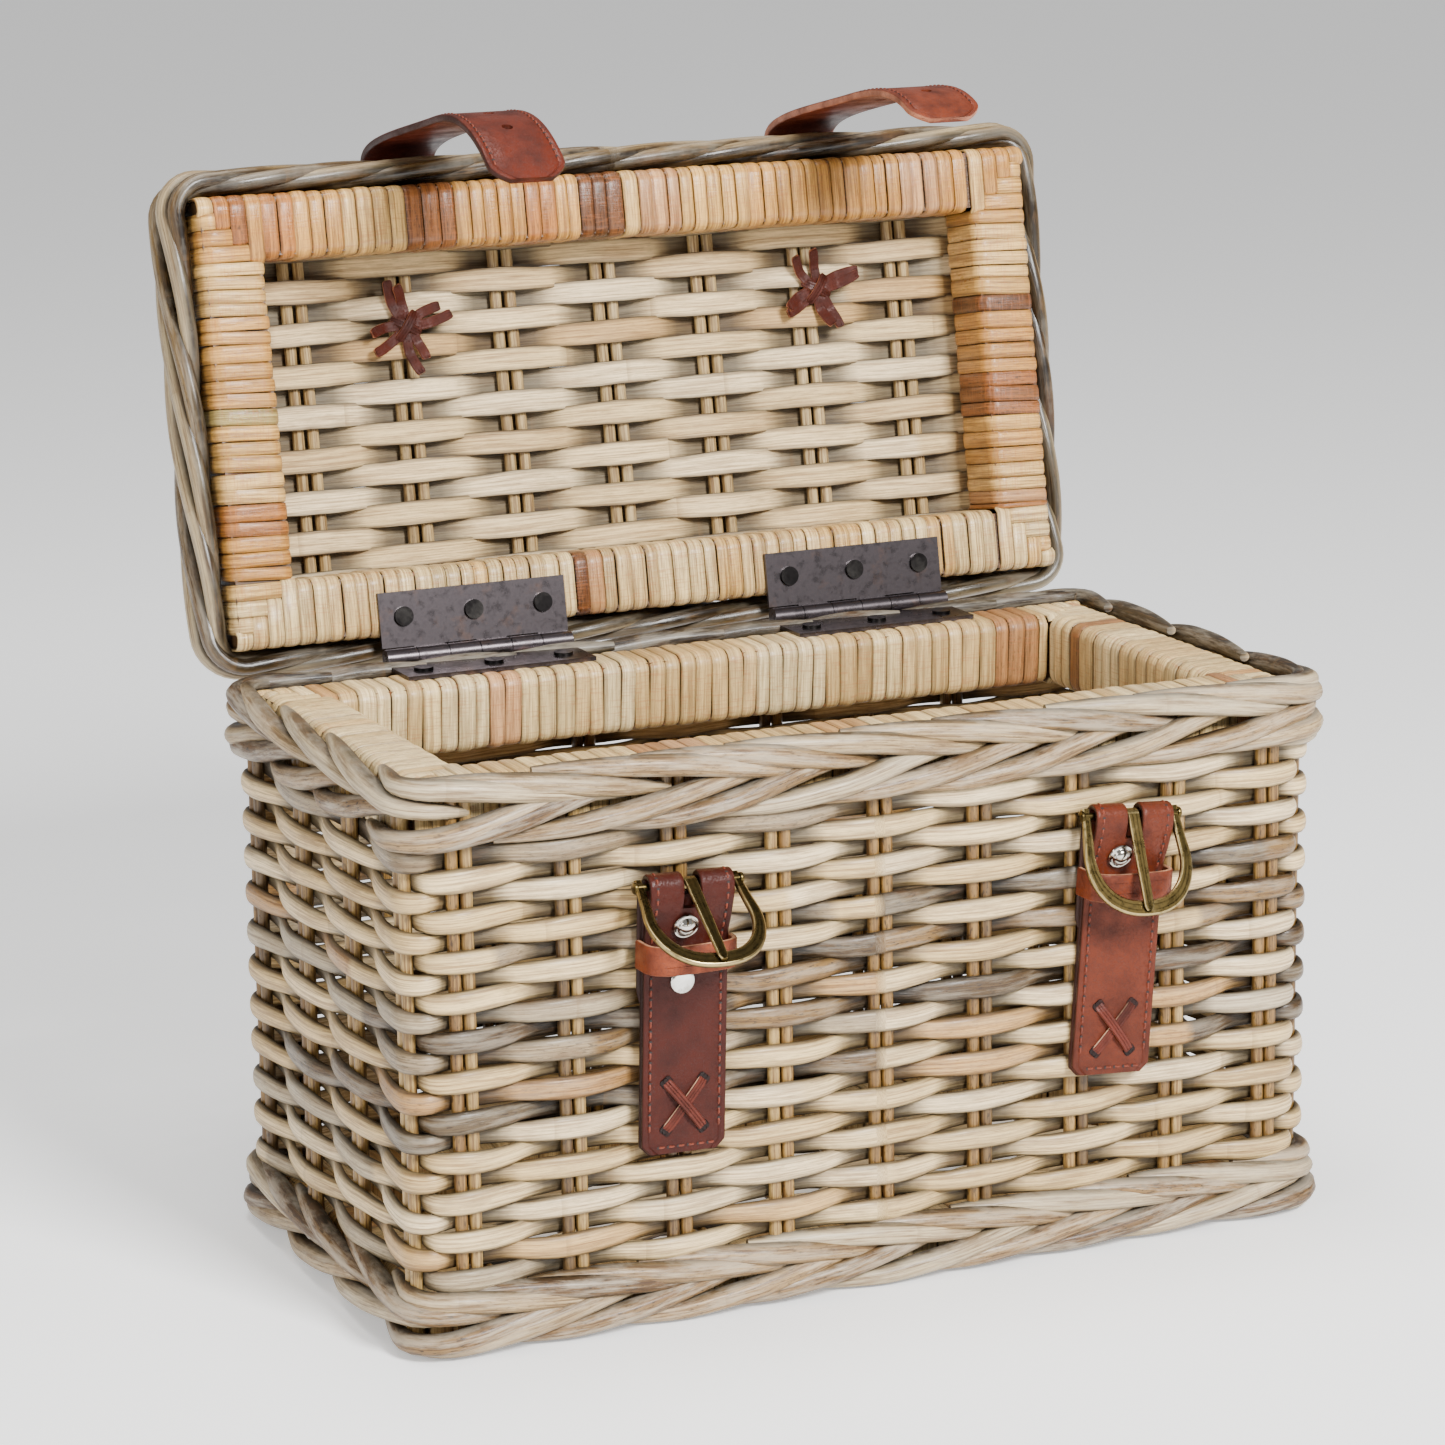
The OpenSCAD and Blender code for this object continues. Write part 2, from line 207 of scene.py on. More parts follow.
class Piece:
    """Closed surfaces in millimetres, each vertex with a tint and a place in the grain."""

    def __init__(self, name, place=None):
        self.name = name
        self.place = place
        self.points = []
        self.quads = []
        self.tris = []
        self.tints = []
        self.grains = []
        self.count = 0

    def add(self, points, quads, tris, tint, grain):
        self.points.append(points)
        self.quads.append(quads + self.count)
        self.tris.append(tris + self.count)
        self.tints.append(tint)
        self.grains.append(grain)
        self.count += len(points)

    def sweep(self, path, normals, rings, tint, seed=0.0, closed=False):
        """Carries rings of (across, out) points along a path; normals point out."""
        path = np.asarray(path, float)
        n = len(path)
        rings = np.broadcast_to(rings, (n,) + np.shape(rings)[-2:])
        m = rings.shape[1]
        normals = np.broadcast_to(np.asarray(normals, float), path.shape)
        if closed:
            along = unit(np.roll(path, -1, axis=0) - np.roll(path, 1, axis=0))
        else:
            along = unit(np.gradient(path, axis=0))
        side = unit(np.cross(normals, along))
        out = np.cross(along, side)
        points = path[:, None] + side[:, None] * rings[..., :1] + out[:, None] * rings[..., 1:]
        step = np.linalg.norm(np.diff(path, axis=0), axis=1)
        grain = np.empty((n, m, 3))
        grain[..., 0] = np.concatenate([[0], np.cumsum(step)])[:, None]
        grain[..., 1] = rings[..., 0]
        grain[..., 2] = seed
        tint = np.broadcast_to(four(tint), (n, m, 4))
        flat = [a.reshape(n * m, -1) for a in (points, tint, grain)]
        tris = np.empty((0, 3), int)
        if not closed:
            ends = [a[[0, -1]].mean(axis=1) for a in (points, tint, grain)]
            flat = [np.concatenate([a, e]) for a, e in zip(flat, ends)]
            tris = cap_tris(n, m)
        self.add(flat[0], ring_quads(n, m, closed), tris, flat[1], flat[2])

    def revolve(self, place, profile, tint, turns=24):
        """A solid of revolution about the local Z axis from (radius, height) points."""
        angle = np.arange(turns) * 2 * math.pi / turns
        r = np.array([p[0] for p in profile])[:, None]
        z = np.array([p[1] for p in profile])[:, None]
        points = np.stack([r * np.cos(angle), r * np.sin(angle), z + 0 * angle], axis=-1)
        n = len(profile)
        flat = points.reshape(-1, 3)
        poles = np.array([[0, 0, profile[0][1]], [0, 0, profile[-1][1]]])
        flat = moved(np.concatenate([flat, poles]), place)
        tint = np.broadcast_to(four(tint), (len(flat), 4))
        self.add(flat, ring_quads(n, turns, False), cap_tris(n, turns), tint, flat * 1.0)

    def build(self, material, body, replaces=(), slot=None, sharp=50):
        points = np.concatenate(self.points)
        if self.place is not None:
            points = moved(points, self.place)
        quads = np.concatenate(self.quads)
        tris = np.concatenate(self.tris)
        mesh = bpy.data.meshes.new(self.name)
        mesh.vertices.add(len(points))
        mesh.vertices.foreach_set("co", (points * MM).ravel())
        corners = np.concatenate([quads.ravel(), tris.ravel()])
        mesh.loops.add(len(corners))
        mesh.loops.foreach_set("vertex_index", corners)
        starts = [np.arange(len(quads)) * 4, 4 * len(quads) + np.arange(len(tris)) * 3]
        mesh.polygons.add(len(quads) + len(tris))
        mesh.polygons.foreach_set("loop_start", np.concatenate(starts))
        mesh.update(calc_edges=True)
        tint = mesh.color_attributes.new("tint", "FLOAT_COLOR", "POINT")
        tint.data.foreach_set("color", np.concatenate(self.tints).ravel())
        grain = mesh.attributes.new("grain", "FLOAT_VECTOR", "POINT")
        grain.data.foreach_set("vector", np.concatenate(self.grains).ravel())
        mesh.polygons.foreach_set("use_smooth", np.ones(len(mesh.polygons), bool))
        mesh.set_sharp_from_angle(angle=math.radians(sharp))
        mesh.materials.append(material)
        obj = bpy.data.objects.new(self.name, mesh)
        bpy.context.scene.collection.objects.link(obj)
        if body:
            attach(obj, body)
        if replaces:
            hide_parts(*replaces)
        return obj


def moved(points, place):
    m = np.array(place)
    return points @ m[:3, :3].T + m[:3, 3]


# ---------------------------------------------------------------- sections
HALF_ROUND = np.array([
    (-0.94, 0.0), (-0.6, 0.0), (0.6, 0.0), (0.94, 0.0), (1.0, 0.2), (0.92, 0.55), (0.68, 0.82),
    (0.36, 0.96), (0.0, 1.0), (-0.36, 0.96), (-0.68, 0.82), (-0.92, 0.55), (-1.0, 0.2),
])
# painted shade: darker along the sides of a strand and the corners of its flat face, where its neighbours
# shade it
HALF_ROUND_PAINTED_SHADE = np.array([0.3, 1, 1, 0.3, 0.09, 0.3, 0.8, 1, 1, 1, 0.8, 0.3, 0.09])
FLAT_FACE = np.array([1, 1, 1, 1] + [0] * 9)
CANE_BAND = np.array([
    (-0.94, 0.0), (0.94, 0.0), (1.0, 0.35), (0.9, 0.76), (0.5, 0.96), (0.0, 1.0),
    (-0.5, 0.96), (-0.9, 0.76), (-1.0, 0.35),
])
# painted shade: each cane band is darker on its underside and low sides, where it meets its neighbours
CANE_PAINTED_SHADE = np.array([0.12, 0.12, 0.16, 0.74, 1, 1, 1, 0.74, 0.16])


def circle(count):
    angle = np.arange(count) * 2 * math.pi / count
    return np.stack([np.cos(angle), np.sin(angle)], axis=-1)


# painted shade: a round strand is darkest on its sides and back and fully bright where it faces out
def round_painted_shade(count):
    out = np.sin(np.arange(count) * 2 * math.pi / count)
    return 0.1 + 0.9 * ease(out, 0.12, 0.9)


def section(shape, half, thick):
    half, thick = np.broadcast_arrays(np.atleast_1d(half), np.atleast_1d(thick))
    across = shape[None, :, 0] * half[:, None]
    return np.stack([across, shape[None, :, 1] * thick[:, None]], axis=-1)


def slab(width, thick, groove=0.0, inset=2.6):
    """Rounded leather section, centred, with an optional stitched groove along both edges."""
    w = width / 2
    t = thick / 2
    r = min(0.7, t * 0.7)
    top = [(w - r, t), (w - inset + 0.7, t), (w - inset, t - groove), (w - inset - 0.7, t), (w * 0.4, t)]
    right = [(w - r, -t), (w - 0.3 * r, 0.3 * r - t), (w, r - t), (w, t - r), (w - 0.3 * r, t - 0.3 * r)]
    half = right + top
    half = [(max(x, 0.02 * (len(half) - i)), y) for i, (x, y) in enumerate(half)]
    left = [(-x, y) for x, y in reversed(half)]
    return np.array(half + left)


def ease(t, a, b):
    u = np.clip((t - a) / (b - a), 0, 1)
    return u * u * (3 - 2 * u)


# ---------------------------------------------------------------- the loop round the frames
CORNER = 9.1
RUN_X = HALF_W + STAKE_OUT - CORNER
RUN_Y = HALF_D + STAKE_OUT - CORNER
ARC = math.pi / 2 * CORNER
OUT_X = HALF_W + STAKE_OUT
OUT_Y = HALF_D + STAKE_OUT
QUARTER = math.pi / 2
# length, heading at its start, start point or centre, whether it turns
SEGMENTS = [
    (RUN_X, 0, (0, -OUT_Y), False),
    (ARC, 0, (RUN_X, -RUN_Y), True),
    (2 * RUN_Y, QUARTER, (OUT_X, -RUN_Y), False),
    (ARC, QUARTER, (RUN_X, RUN_Y), True),
    (2 * RUN_X, 2 * QUARTER, (RUN_X, OUT_Y), False),
    (ARC, 2 * QUARTER, (-RUN_X, RUN_Y), True),
    (2 * RUN_Y, 3 * QUARTER, (-OUT_X, RUN_Y), False),
    (ARC, 3 * QUARTER, (-RUN_X, -RUN_Y), True),
    (RUN_X, 4 * QUARTER, (-RUN_X, -OUT_Y), False),
]
LOOP = sum(part[0] for part in SEGMENTS)


def perimeter(s, offset, z):
    """Points and outward normals round the frames; s runs right from the middle of the front."""
    s = np.mod(np.asarray(s, float), LOOP)
    heading = np.zeros_like(s)
    base = np.zeros(s.shape + (2,))
    done = 0.0
    for length, angle, start, turning in SEGMENTS:
        here = (s >= done) & (s <= done + length)
        run = s[here] - done
        a = angle + (run / CORNER if turning else 0 * run)
        heading[here] = a
        if turning:
            reach = CORNER * np.stack([np.sin(a), -np.cos(a)], axis=-1)
        else:
            reach = run[:, None] * np.array([math.cos(angle), math.sin(angle)])
        base[here] = np.array(start) + reach
        done += length
    normal = np.stack([np.sin(heading), -np.cos(heading), 0 * heading], axis=-1)
    point = np.concatenate([base, 0 * base[:, :1]], axis=1)
    point = point + normal * (np.asarray(offset) - STAKE_OUT)[..., None]
    point[:, 2] = z
    return point, normal


RIGHT_START = RUN_X + ARC
BACK_START = RIGHT_START + 2 * RUN_Y + ARC
LEFT_START = BACK_START + 2 * RUN_X + ARC
PAIRS = np.concatenate([
    FRONT_X,
    RIGHT_START + RUN_Y + SIDE_Y,
    BACK_START + RUN_X + FRONT_X,
    LEFT_START + RUN_Y + SIDE_Y,
])


def stations(step):
    """Places along the loop, closer together round the corners."""
    places = []
    done = 0.0
    for length, _, _, turning in SEGMENTS:
        count = math.ceil(length / (step * (0.5 if turning else 1)))
        places.append(done + np.arange(count) * length / count)
        done += length
    return np.concatenate(places)


def over_under(s, posts, parity):
    """1 where the strand crests outside a post and -1 where it crests inside."""
    i = np.clip(np.searchsorted(posts, s, side="right") - 1, 0, len(posts) - 2)
    u = (s - posts[i]) / (posts[i + 1] - posts[i])
    wave = np.cos(math.pi * u) * np.where((i + parity) % 2 == 0, 1, -1)
    return np.sign(wave) * np.abs(wave) ** 0.8


def woven_painted_shade(wave):
    """Painted shade: darker edges, and darker where a strand dives behind a post, on either face."""
    dive_shadow_out = ease(-wave, -0.1, 0.8)[:, None] * (1 - FLAT_FACE)
    dive_shadow_in = ease(wave, -0.1, 0.8)[:, None] * FLAT_FACE
    return (HALF_ROUND_PAINTED_SHADE * (1 - 0.82 * (dive_shadow_out + dive_shadow_in)))[..., None]


def ripple(s, rng, size, cycles=(2, 3, 5, 8, 13)):
    total = 0 * s
    for c in cycles:
        total = total + np.sin(2 * math.pi * (c * s / LOOP + rng.random())) * rng.uniform(0.5, 1)
    return total * size / len(cycles)


def runs(s, rng, colours, length):
    """Colours that change along a strand where one cane ends and the next begins."""
    edges = np.cumsum(rng.uniform(0.6, 1.4, 64) * length) + s.min()
    picks = np.array([aged(colours[k]) for k in rng.integers(0, len(colours), 65)])
    picks = picks * rng.uniform(0.92, 1.05, (65, 1))
    return picks[np.searchsorted(edges, s)][:, None, :]


# ---------------------------------------------------------------- materials
MIX_FACTOR, MIX_A, MIX_B, MIX_RESULT = 0, 6, 7, 2    # a Mix node's sockets when it mixes colours


class Shading:
    """A new material, with short ways to add its nodes and link them."""

    def __init__(self, name):
        self.material = bpy.data.materials.new(name)
        self.material.use_nodes = True
        self.tree = self.material.node_tree
        self.shader = self.tree.nodes["Principled BSDF"]

    def feed(self, sockets, values):
        """Links each named socket to an output, or sets its own value."""
        for key, value in values.items():
            if hasattr(value, "links"):
                self.tree.links.new(value, sockets[key])
            else:
                sockets[key].default_value = value

    def node(self, kind, values, **settings):
        node = self.tree.nodes.new("ShaderNode" + kind)
        for setting, value in settings.items():
            setattr(node, setting, value)
        self.feed(node.inputs, values)
        return node

    def tint_and_age(self):
        tint = self.node("Attribute", {}, attribute_name="tint")
        return tint.outputs["Color"], tint.outputs["Alpha"]

    def object_place(self):
        return self.node("TexCoord", {}).outputs["Object"]

    def math(self, kind, *values):
        return self.node("Math", dict(enumerate(values)), operation=kind).outputs[0]

    def noise(self, place, stretch, detail=4.0, rough=0.55):
        """Noise over a place stretched by a scale along each of its axes."""
        mapping = self.node("Mapping", {"Scale": stretch, "Vector": place})
        values = {"Scale": 1.0, "Detail": detail, "Roughness": rough, "Vector": mapping.outputs[0]}
        return self.node("TexNoise", values).outputs[0]

    def ramp(self, value, low, high, start=0.0, end=1.0):
        values = {"From Min": low, "From Max": high, "To Min": start, "To Max": end, "Value": value}
        return self.node("MapRange", values).outputs[0]

    def mix(self, factor, a, b, kind="MIX"):
        a, b = (colour if hasattr(colour, "links") else (*colour, 1.0) for colour in (a, b))
        values = {MIX_FACTOR: factor, MIX_A: a, MIX_B: b}
        return self.node("Mix", values, data_type="RGBA", blend_type=kind).outputs[MIX_RESULT]

    def finish(self, values, height, strength, distance):
        """Sets or links the shader's sockets, adds the bump, and gives the material."""
        self.feed(self.shader.inputs, values)
        bump = self.node("Bump", {"Strength": strength, "Distance": distance, "Height": height})
        self.feed(self.shader.inputs, {"Normal": bump.outputs[0]})
        return self.material


RING_SPACING = 163.0                                 # from one joint of a cane to the next


def cane_material(name, streak=0.3, stain=0.3, wash=0.0, rings=0.0, rough=(0.34, 0.55), ribs=0.0):
    """Cane or rattan: fibres along each strand, stains, whitewash, rings and a satin skin."""
    g = Shading(name)
    tint, age = g.tint_and_age()
    grain = g.node("Attribute", {}, attribute_name="grain").outputs["Vector"]
    fibre = g.noise(grain, (0.035, 1.3, 9.7), 5.0, 0.62)
    fine = g.noise(grain, (0.12, 4.5, 3.3), 3.0, 0.5)
    patch = g.noise(grain, (0.045, 0.2, 6.1), 5.0, 0.66)
    speck = g.noise(grain, (0.35, 1.5, 2.9), 3.0, 0.6)
    shade = g.ramp(fibre, 0.38, 0.58, streak, 0.0)
    colour = g.mix(shade, tint, srgb(126, 98, 66), "MULTIPLY")
    lines = g.ramp(fine, 0.56, 0.68, 0.0, 0.8 * streak)
    colour = g.mix(lines, colour, srgb(92, 68, 38))
    old = g.math("MULTIPLY_ADD", age, 0.45, 0.55)
    spots = g.math("MULTIPLY", g.ramp(patch, 0.54, 0.66, 0.0, stain), old)
    colour = g.mix(spots, colour, g.mix(0.65, tint, srgb(92, 62, 34)))
    dots = g.math("MULTIPLY", g.ramp(speck, 0.56, 0.64, 0.0, 1.0), old)
    dots = g.math("MULTIPLY", dots, g.math("MULTIPLY_ADD", age, 0.75, 0.25))
    colour = g.mix(g.math("MULTIPLY", dots, stain), colour, srgb(48, 34, 20))
    if wash:
        chalk = g.noise(grain, (0.035, 0.34, 4.4), 6.0, 0.7)
        white = g.math("MULTIPLY_ADD", age, 0.36, wash)
        white = g.math("MULTIPLY", g.ramp(chalk, 0.45, 0.6), white)
        colour = g.mix(white, colour, g.mix(0.5, tint, srgb(206, 196, 176)))
    if rings:
        parts = g.node("SeparateXYZ", {0: grain})
        step = g.math("MULTIPLY", parts.outputs[0], 1 / RING_SPACING)
        step = g.math("ADD", step, parts.outputs[2])
        step = g.math("FRACT", step)
        step = g.math("ADD", step, g.math("MULTIPLY", speck, 0.02))
        near = g.ramp(step, 0.012, 0.026, 0.6 * rings, 0.0)
        colour = g.mix(near, colour, srgb(112, 84, 50))
    height = g.math("ADD", fibre, g.math("MULTIPLY", fine, 0.5))
    if ribs:
        cross = g.noise(grain, (1.6, 0.12, 5.2), 1.0, 0.5)
        height = g.math("ADD", height, g.math("MULTIPLY", cross, ribs))
        crossed = g.ramp(cross, 0.56, 0.64, 0.0, 0.3)
        colour = g.mix(crossed, colour, srgb(164, 96, 54))
    skin = {"Base Color": colour, "Roughness": g.ramp(patch, 0.35, 0.65, *rough)}
    skin.update({"Specular IOR Level": 0.4, "Coat Weight": 0.12, "Coat Roughness": 0.2})
    return g.finish(skin, height, 0.55, 0.0005)


def leather_material(name, dark, crack=0.0, rough=(0.32, 0.52)):
    """Leather: soft cloudy colour, pores, creases and rubbed spots over the tinted base."""
    g = Shading(name)
    tint, _ = g.tint_and_age()
    grain = g.object_place()
    cloud = g.noise(grain, (90, 90, 90), 4.0, 0.6)
    pores = g.noise(grain, (1500, 1500, 1500), 2.0, 0.6)
    crease = g.noise(grain, (420, 420, 420), 4.0, 0.7)
    colour = g.mix(g.ramp(cloud, 0.42, 0.68, 0.0, 0.75), tint, dark)
    colour = g.mix(g.ramp(pores, 0.62, 0.72, 0.0, 0.35), colour, dark)
    height = g.math("ADD", g.math("MULTIPLY", crease, 0.8), pores)
    if crack:
        ridge = g.math("ABSOLUTE", g.math("SUBTRACT", crease, 0.5))
        split = g.ramp(ridge, 0.0, 0.022, 1.0, 0.0)
        colour = g.mix(g.math("MULTIPLY", split, crack), colour, dark)
        height = g.math("SUBTRACT", height, split)
    skin = {"Base Color": colour, "Roughness": g.ramp(cloud, 0.35, 0.65, *rough)}
    skin["Specular IOR Level"] = 0.2
    return g.finish(skin, height, 0.4, 0.0003)


def metal_material(name, base, worn, tarnish, rough=(0.25, 0.5), wear=(0.5, 0.66), grit=0.12, tinted=False):
    """Metal with tarnished clouds, rubbed spots and fine scratches; a tint marks its rubbed edges."""
    g = Shading(name)
    place = g.object_place()
    cloud = g.noise(place, (260, 260, 260), 5.0, 0.65)
    rub = g.noise(place, (90, 90, 90), 4.0, 0.6)
    fine = g.noise(place, (420, 900, 420), 3.0, 0.6)
    colour = g.mix(g.ramp(rub, wear[0], wear[1]), base, worn)
    colour = g.mix(g.ramp(cloud, 0.5, 0.66, 0.0, 0.7), colour, tarnish)
    if tinted:
        _, edge = g.tint_and_age()
        edge = g.math("MULTIPLY", edge, g.ramp(cloud, 0.3, 0.5, 0.3, 1.0))
        colour = g.mix(edge, colour, worn)
    skin = {"Base Color": colour, "Roughness": g.ramp(cloud, 0.35, 0.68, *rough), "Metallic": 1.0}
    return g.finish(skin, fine, grit, 0.0002)


def thread_material(name, colour):
    """Twisted thread; a piece tinted as old is a near-black dent, the painted shadow of the hole that the
    thread goes into.
    """
    g = Shading(name)
    _, hole = g.tint_and_age()
    place = g.object_place()
    twist = g.noise(place, (1800, 1800, 1800), 2.0, 0.5)
    shade = g.mix(g.ramp(twist, 0.35, 0.65), colour, colour * 0.4)
    shade = g.mix(hole, shade, srgb(22, 12, 9))
    return g.finish({"Base Color": shade, "Roughness": 0.7}, twist, 0.4, 0.0002)


WEAVER = cane_material("weaver_rattan", 0.65, 1.0, wash=0.08, rings=0.5)
PLAIT = cane_material("border_rattan", 0.8, 1.0, wash=0.4, rings=0.4, rough=(0.4, 0.62))
GLOSSY = cane_material("lid_border_rattan", 0.8, 0.9, wash=0.18, rings=0.4, rough=(0.26, 0.44))
CANE = cane_material("straw_cane", 0.55, 0.7, ribs=0.35, rough=(0.34, 0.5))
HONEY_CANE = cane_material("honey_cane", 0.7, 0.8, ribs=0.35, rough=(0.26, 0.42))
FLAT = cane_material("split_rattan", 0.6, 0.8, rings=0.6, rough=(0.5, 0.68))
RODS = cane_material("stake_rattan", 0.8, 0.8, rings=0.8, rough=(0.3, 0.5))
BRONZE = metal_material(
    "dark_bronze", srgb(86, 80, 82), srgb(112, 88, 76), srgb(58, 53, 55), (0.26, 0.4), (0.58, 0.85), 0.06)
BRASS = metal_material(
    "antique_brass", srgb(88, 74, 42), srgb(170, 150, 104), srgb(40, 33, 19),
    (0.24, 0.42), (0.62, 0.9), 0.08, True)
NICKEL = metal_material(
    "nickel", srgb(206, 202, 194), srgb(226, 224, 218), srgb(150, 142, 130), (0.1, 0.2), grit=0.02)
BLACK = metal_material(
    "black_steel", srgb(34, 32, 32), srgb(58, 56, 54), srgb(20, 19, 19), (0.3, 0.45), grit=0.05)
DARK_LEATHER = leather_material("dark_leather", srgb(44, 17, 11), 0.3)
RED_LEATHER = leather_material("red_leather", srgb(42, 14, 9), 0.1)
TAN_LEATHER = leather_material("tan_leather", srgb(62, 24, 13), 0.7)
THREAD = thread_material("thread", srgb(120, 46, 19))


# ---------------------------------------------------------------- woven body
ROWS = 22
ROW_PITCH = 7.18
ROW_START = 27.7
FULL_ROWS = 20


def weave_body(name, rows, replaced):
    """Half-round rattan rings, each over one pair of stakes and inside the next."""
    piece = Piece(name)
    s = stations(4.0)
    posts = np.concatenate([PAIRS, [PAIRS[0] + LOOP]])
    wrapped = np.where(s > PAIRS[0] + LOOP, s - LOOP, s)
    for row in rows:
        rng = dice(f"row{row}")
        wave = over_under(wrapped, posts, row)
        outside = np.clip(wave, 0, 1)
        inside = np.clip(-wave, 0, 1)
        free = row < FULL_ROWS
        thick = 2.8 + ripple(s, rng, 0.2) - (0 if free else 1.7) * inside
        base = np.where(wave > 0, 1.2 + 3.7 * wave, 1.2 + (3.7 if free else 1.9) * wave)
        half = 3.6 + 0.75 * outside ** 1.3 + 0.5 * inside ** 1.3 + ripple(s, rng, 0.35)
        z = ROW_START + ROW_PITCH * row + ripple(s, rng, 0.95) + ripple(s, rng, 0.5, (21, 26, 34))
        mid = row in (7, 8, 9, 11, 12, 13, 14, 16)
        colours = CREAM * 3 + TAN[2:] + GREY[:1] if not mid else CREAM * 2 + BROWN * 2 + TAN[:2] + GREY
        if row > 19:
            colours = CREAM + GREY * 2
        path, normal = perimeter(s, base, z)
        # painted shade along each strand's edges and where it dives behind a pair of stakes
        tint = runs(s, rng, colours, 130 if mid else 280) * woven_painted_shade(wave)
        seed = row + 0.37 * rng.random()
        piece.sweep(path, normal, section(HALF_ROUND, half, thick), tint, seed, True)
    return piece.build(WEAVER, "basket", replaced, "rattan")


def rod(piece, start, end, radius, rng, colours, seed):
    """One slightly uneven stake."""
    start = np.array(start, float)
    end = np.array(end, float)
    count = max(8, int(np.linalg.norm(end - start) / 7))
    t = np.linspace(0, 1, count)
    path = start + (end - start) * t[:, None]
    wander = ripple(t * LOOP, rng, 0.25)
    path = path + np.outer(wander, np.cross(end - start, (0.36, 0.48, 0.8)) / np.linalg.norm(end - start))
    size = radius + ripple(t * LOOP, rng, 0.14)
    normal = (0, 0, 1) if abs(end[2] - start[2]) < 1 else (0, 1, 0)
    tint = aged(colours[rng.integers(len(colours))]) * rng.uniform(0.85, 1.1)
    piece.sweep(path, normal, section(circle(10), size, size), tint, seed)


def rod_pairs(piece, rng, ends, gap, across, radius, colours):
    """A pair of rods for each (start, end), half a gap to either side of the line between them."""
    for k, (start, end) in enumerate(ends):
        for offset in (-gap / 2, gap / 2):
            shift = offset * np.array(across)
            rod(piece, start + shift, end + shift, radius, rng, colours, k + 0.1 * offset)


STAKE_FOOT = 1.8
STAKE_TOP = 203.0


def stakes(name, replaced, centres, across):
    """Pairs of upright stakes from the foot to the underside of the top border."""
    piece = Piece(name)
    ends = [[np.array([x, y, z]) for z in (STAKE_FOOT, STAKE_TOP)] for x, y in centres]
    rod_pairs(piece, dice(name), ends, 5.2, across, STAKE_R, STAKE)
    return piece.build(RODS, "basket", replaced, "stake_rattan")


weave_body("weave_lower", range(0, 11), ("weave_front", "weave_back"))
weave_body("weave_upper", range(11, ROWS), ("weave_left", "weave_right"))
stakes("stakes_front_rods", ("stakes_front",), [(x, -OUT_Y) for x in FRONT_X], ALONG_X)
stakes("stakes_back_rods", ("stakes_back",), [(x, OUT_Y) for x in FRONT_X], ALONG_X)
stakes("stakes_left_rods", ("stakes_left",), [(-OUT_X, y) for y in SIDE_Y], ALONG_Y)
stakes("stakes_right_rods", ("stakes_right",), [(OUT_X, y) for y in SIDE_Y], ALONG_Y)


# ---------------------------------------------------------------- plaited borders
def strand(piece, s0, length, z_keys, out_keys, half, thick, tint, seed, count=34):
    """One tapering strand along the loop; keys are values at even steps along it."""
    t = np.linspace(0, 1, count)
    keys = np.linspace(0, 1, len(z_keys))
    z = np.interp(t, keys, z_keys)
    out = np.interp(t, keys, out_keys)
    for _ in range(4):
        z[1:-1] = (z[:-2] + 2 * z[1:-1] + z[2:]) / 4
        out[1:-1] = (out[:-2] + 2 * out[1:-1] + out[2:]) / 4
    taper = 0.34 + 0.66 * np.sin(math.pi * np.clip(t, 0.01, 0.99)) ** 0.55
    path, normal = perimeter(s0 + t * length, out, z)
    # painted shade on the sides and back of the strand
    tint = tint * round_painted_shade(16)[None, :, None]
    piece.sweep(path, normal, section(circle(16), half * taper, thick * taper), tint, seed)


def herringbone(name, replaced, low, high, lip):
    """Two families of strands that meet in a seam and point to the right."""
    piece = Piece(name)
    rng = dice(name)
    seam = low + (high - low) * 0.55
    for k, s in enumerate(PAIRS):
        for family in (0, 1):
            length = rng.uniform(96, 112)
            start = s + rng.uniform(-4, 4) - 30 + 14 * family
            tint = aged(BORDER[rng.integers(len(BORDER))]) * rng.uniform(0.9, 1.06)
            jog = rng.uniform(-0.7, 0.7)
            if family == 0:
                z_keys = [low + 2.5, low + 3.8 + jog, low + 7.5 + jog, seam - 0.8, seam + 2.5]
                out_keys = [2.6, 7.6, 8.6, 7.0, 2.4]
            else:
                z_keys = [high - 2.4, high - 3.0, high - 5.2 + jog, seam + 2.6, seam - 1.5]
                out_keys = [1.8 if lip else 2.6, 6.2, 8.8, 8.0, 3.0]
            strand(piece, start, length, z_keys, out_keys, 4.1, 4.3, tint, 1.37 * k + 0.5 * family)
    return piece.build(PLAIT, "basket", replaced, "border_rattan")


ROPE_STRANDS = 5
ROPE_TURNS = 6


def rope_border(name, replaced, low, high, place):
    """Long strands twisted round each other along the side of the lid."""
    piece = Piece(name, place)
    rng = dice(name)
    s = stations(4.0)
    for k in range(ROPE_STRANDS):
        turn = 2 * math.pi * (ROPE_TURNS * s / LOOP + k / ROPE_STRANDS) + ripple(s, rng, 0.7, (1, 2, 3, 5))
        z = (low + high) / 2 + 11.0 * np.sin(turn) + ripple(s, rng, 1.2)
        out = 5.6 + 2.6 * np.cos(turn)
        half = 4.2 + ripple(s, rng, 0.7, (3, 5, 7))
        # painted shade on the sides and back of each strand
        tint = runs(s, rng, LID_BORDER, 230) * round_painted_shade(16)[None, :, None]
        path, normal = perimeter(s, out, z)
        piece.sweep(path, normal, section(circle(16), half, 3.1), tint, 1.3 * k + 0.3, True)
    return piece.build(GLOSSY, "lid", replaced, "border_rattan")


herringbone("top_plait", ("top_border",), 181.5, 208.0, True)
herringbone("bottom_plait", ("bottom_border",), 1.0, 25.0, False)
rope_border("lid_plait", ("lid_border",), 217.6, 248.0, OPEN_LID)


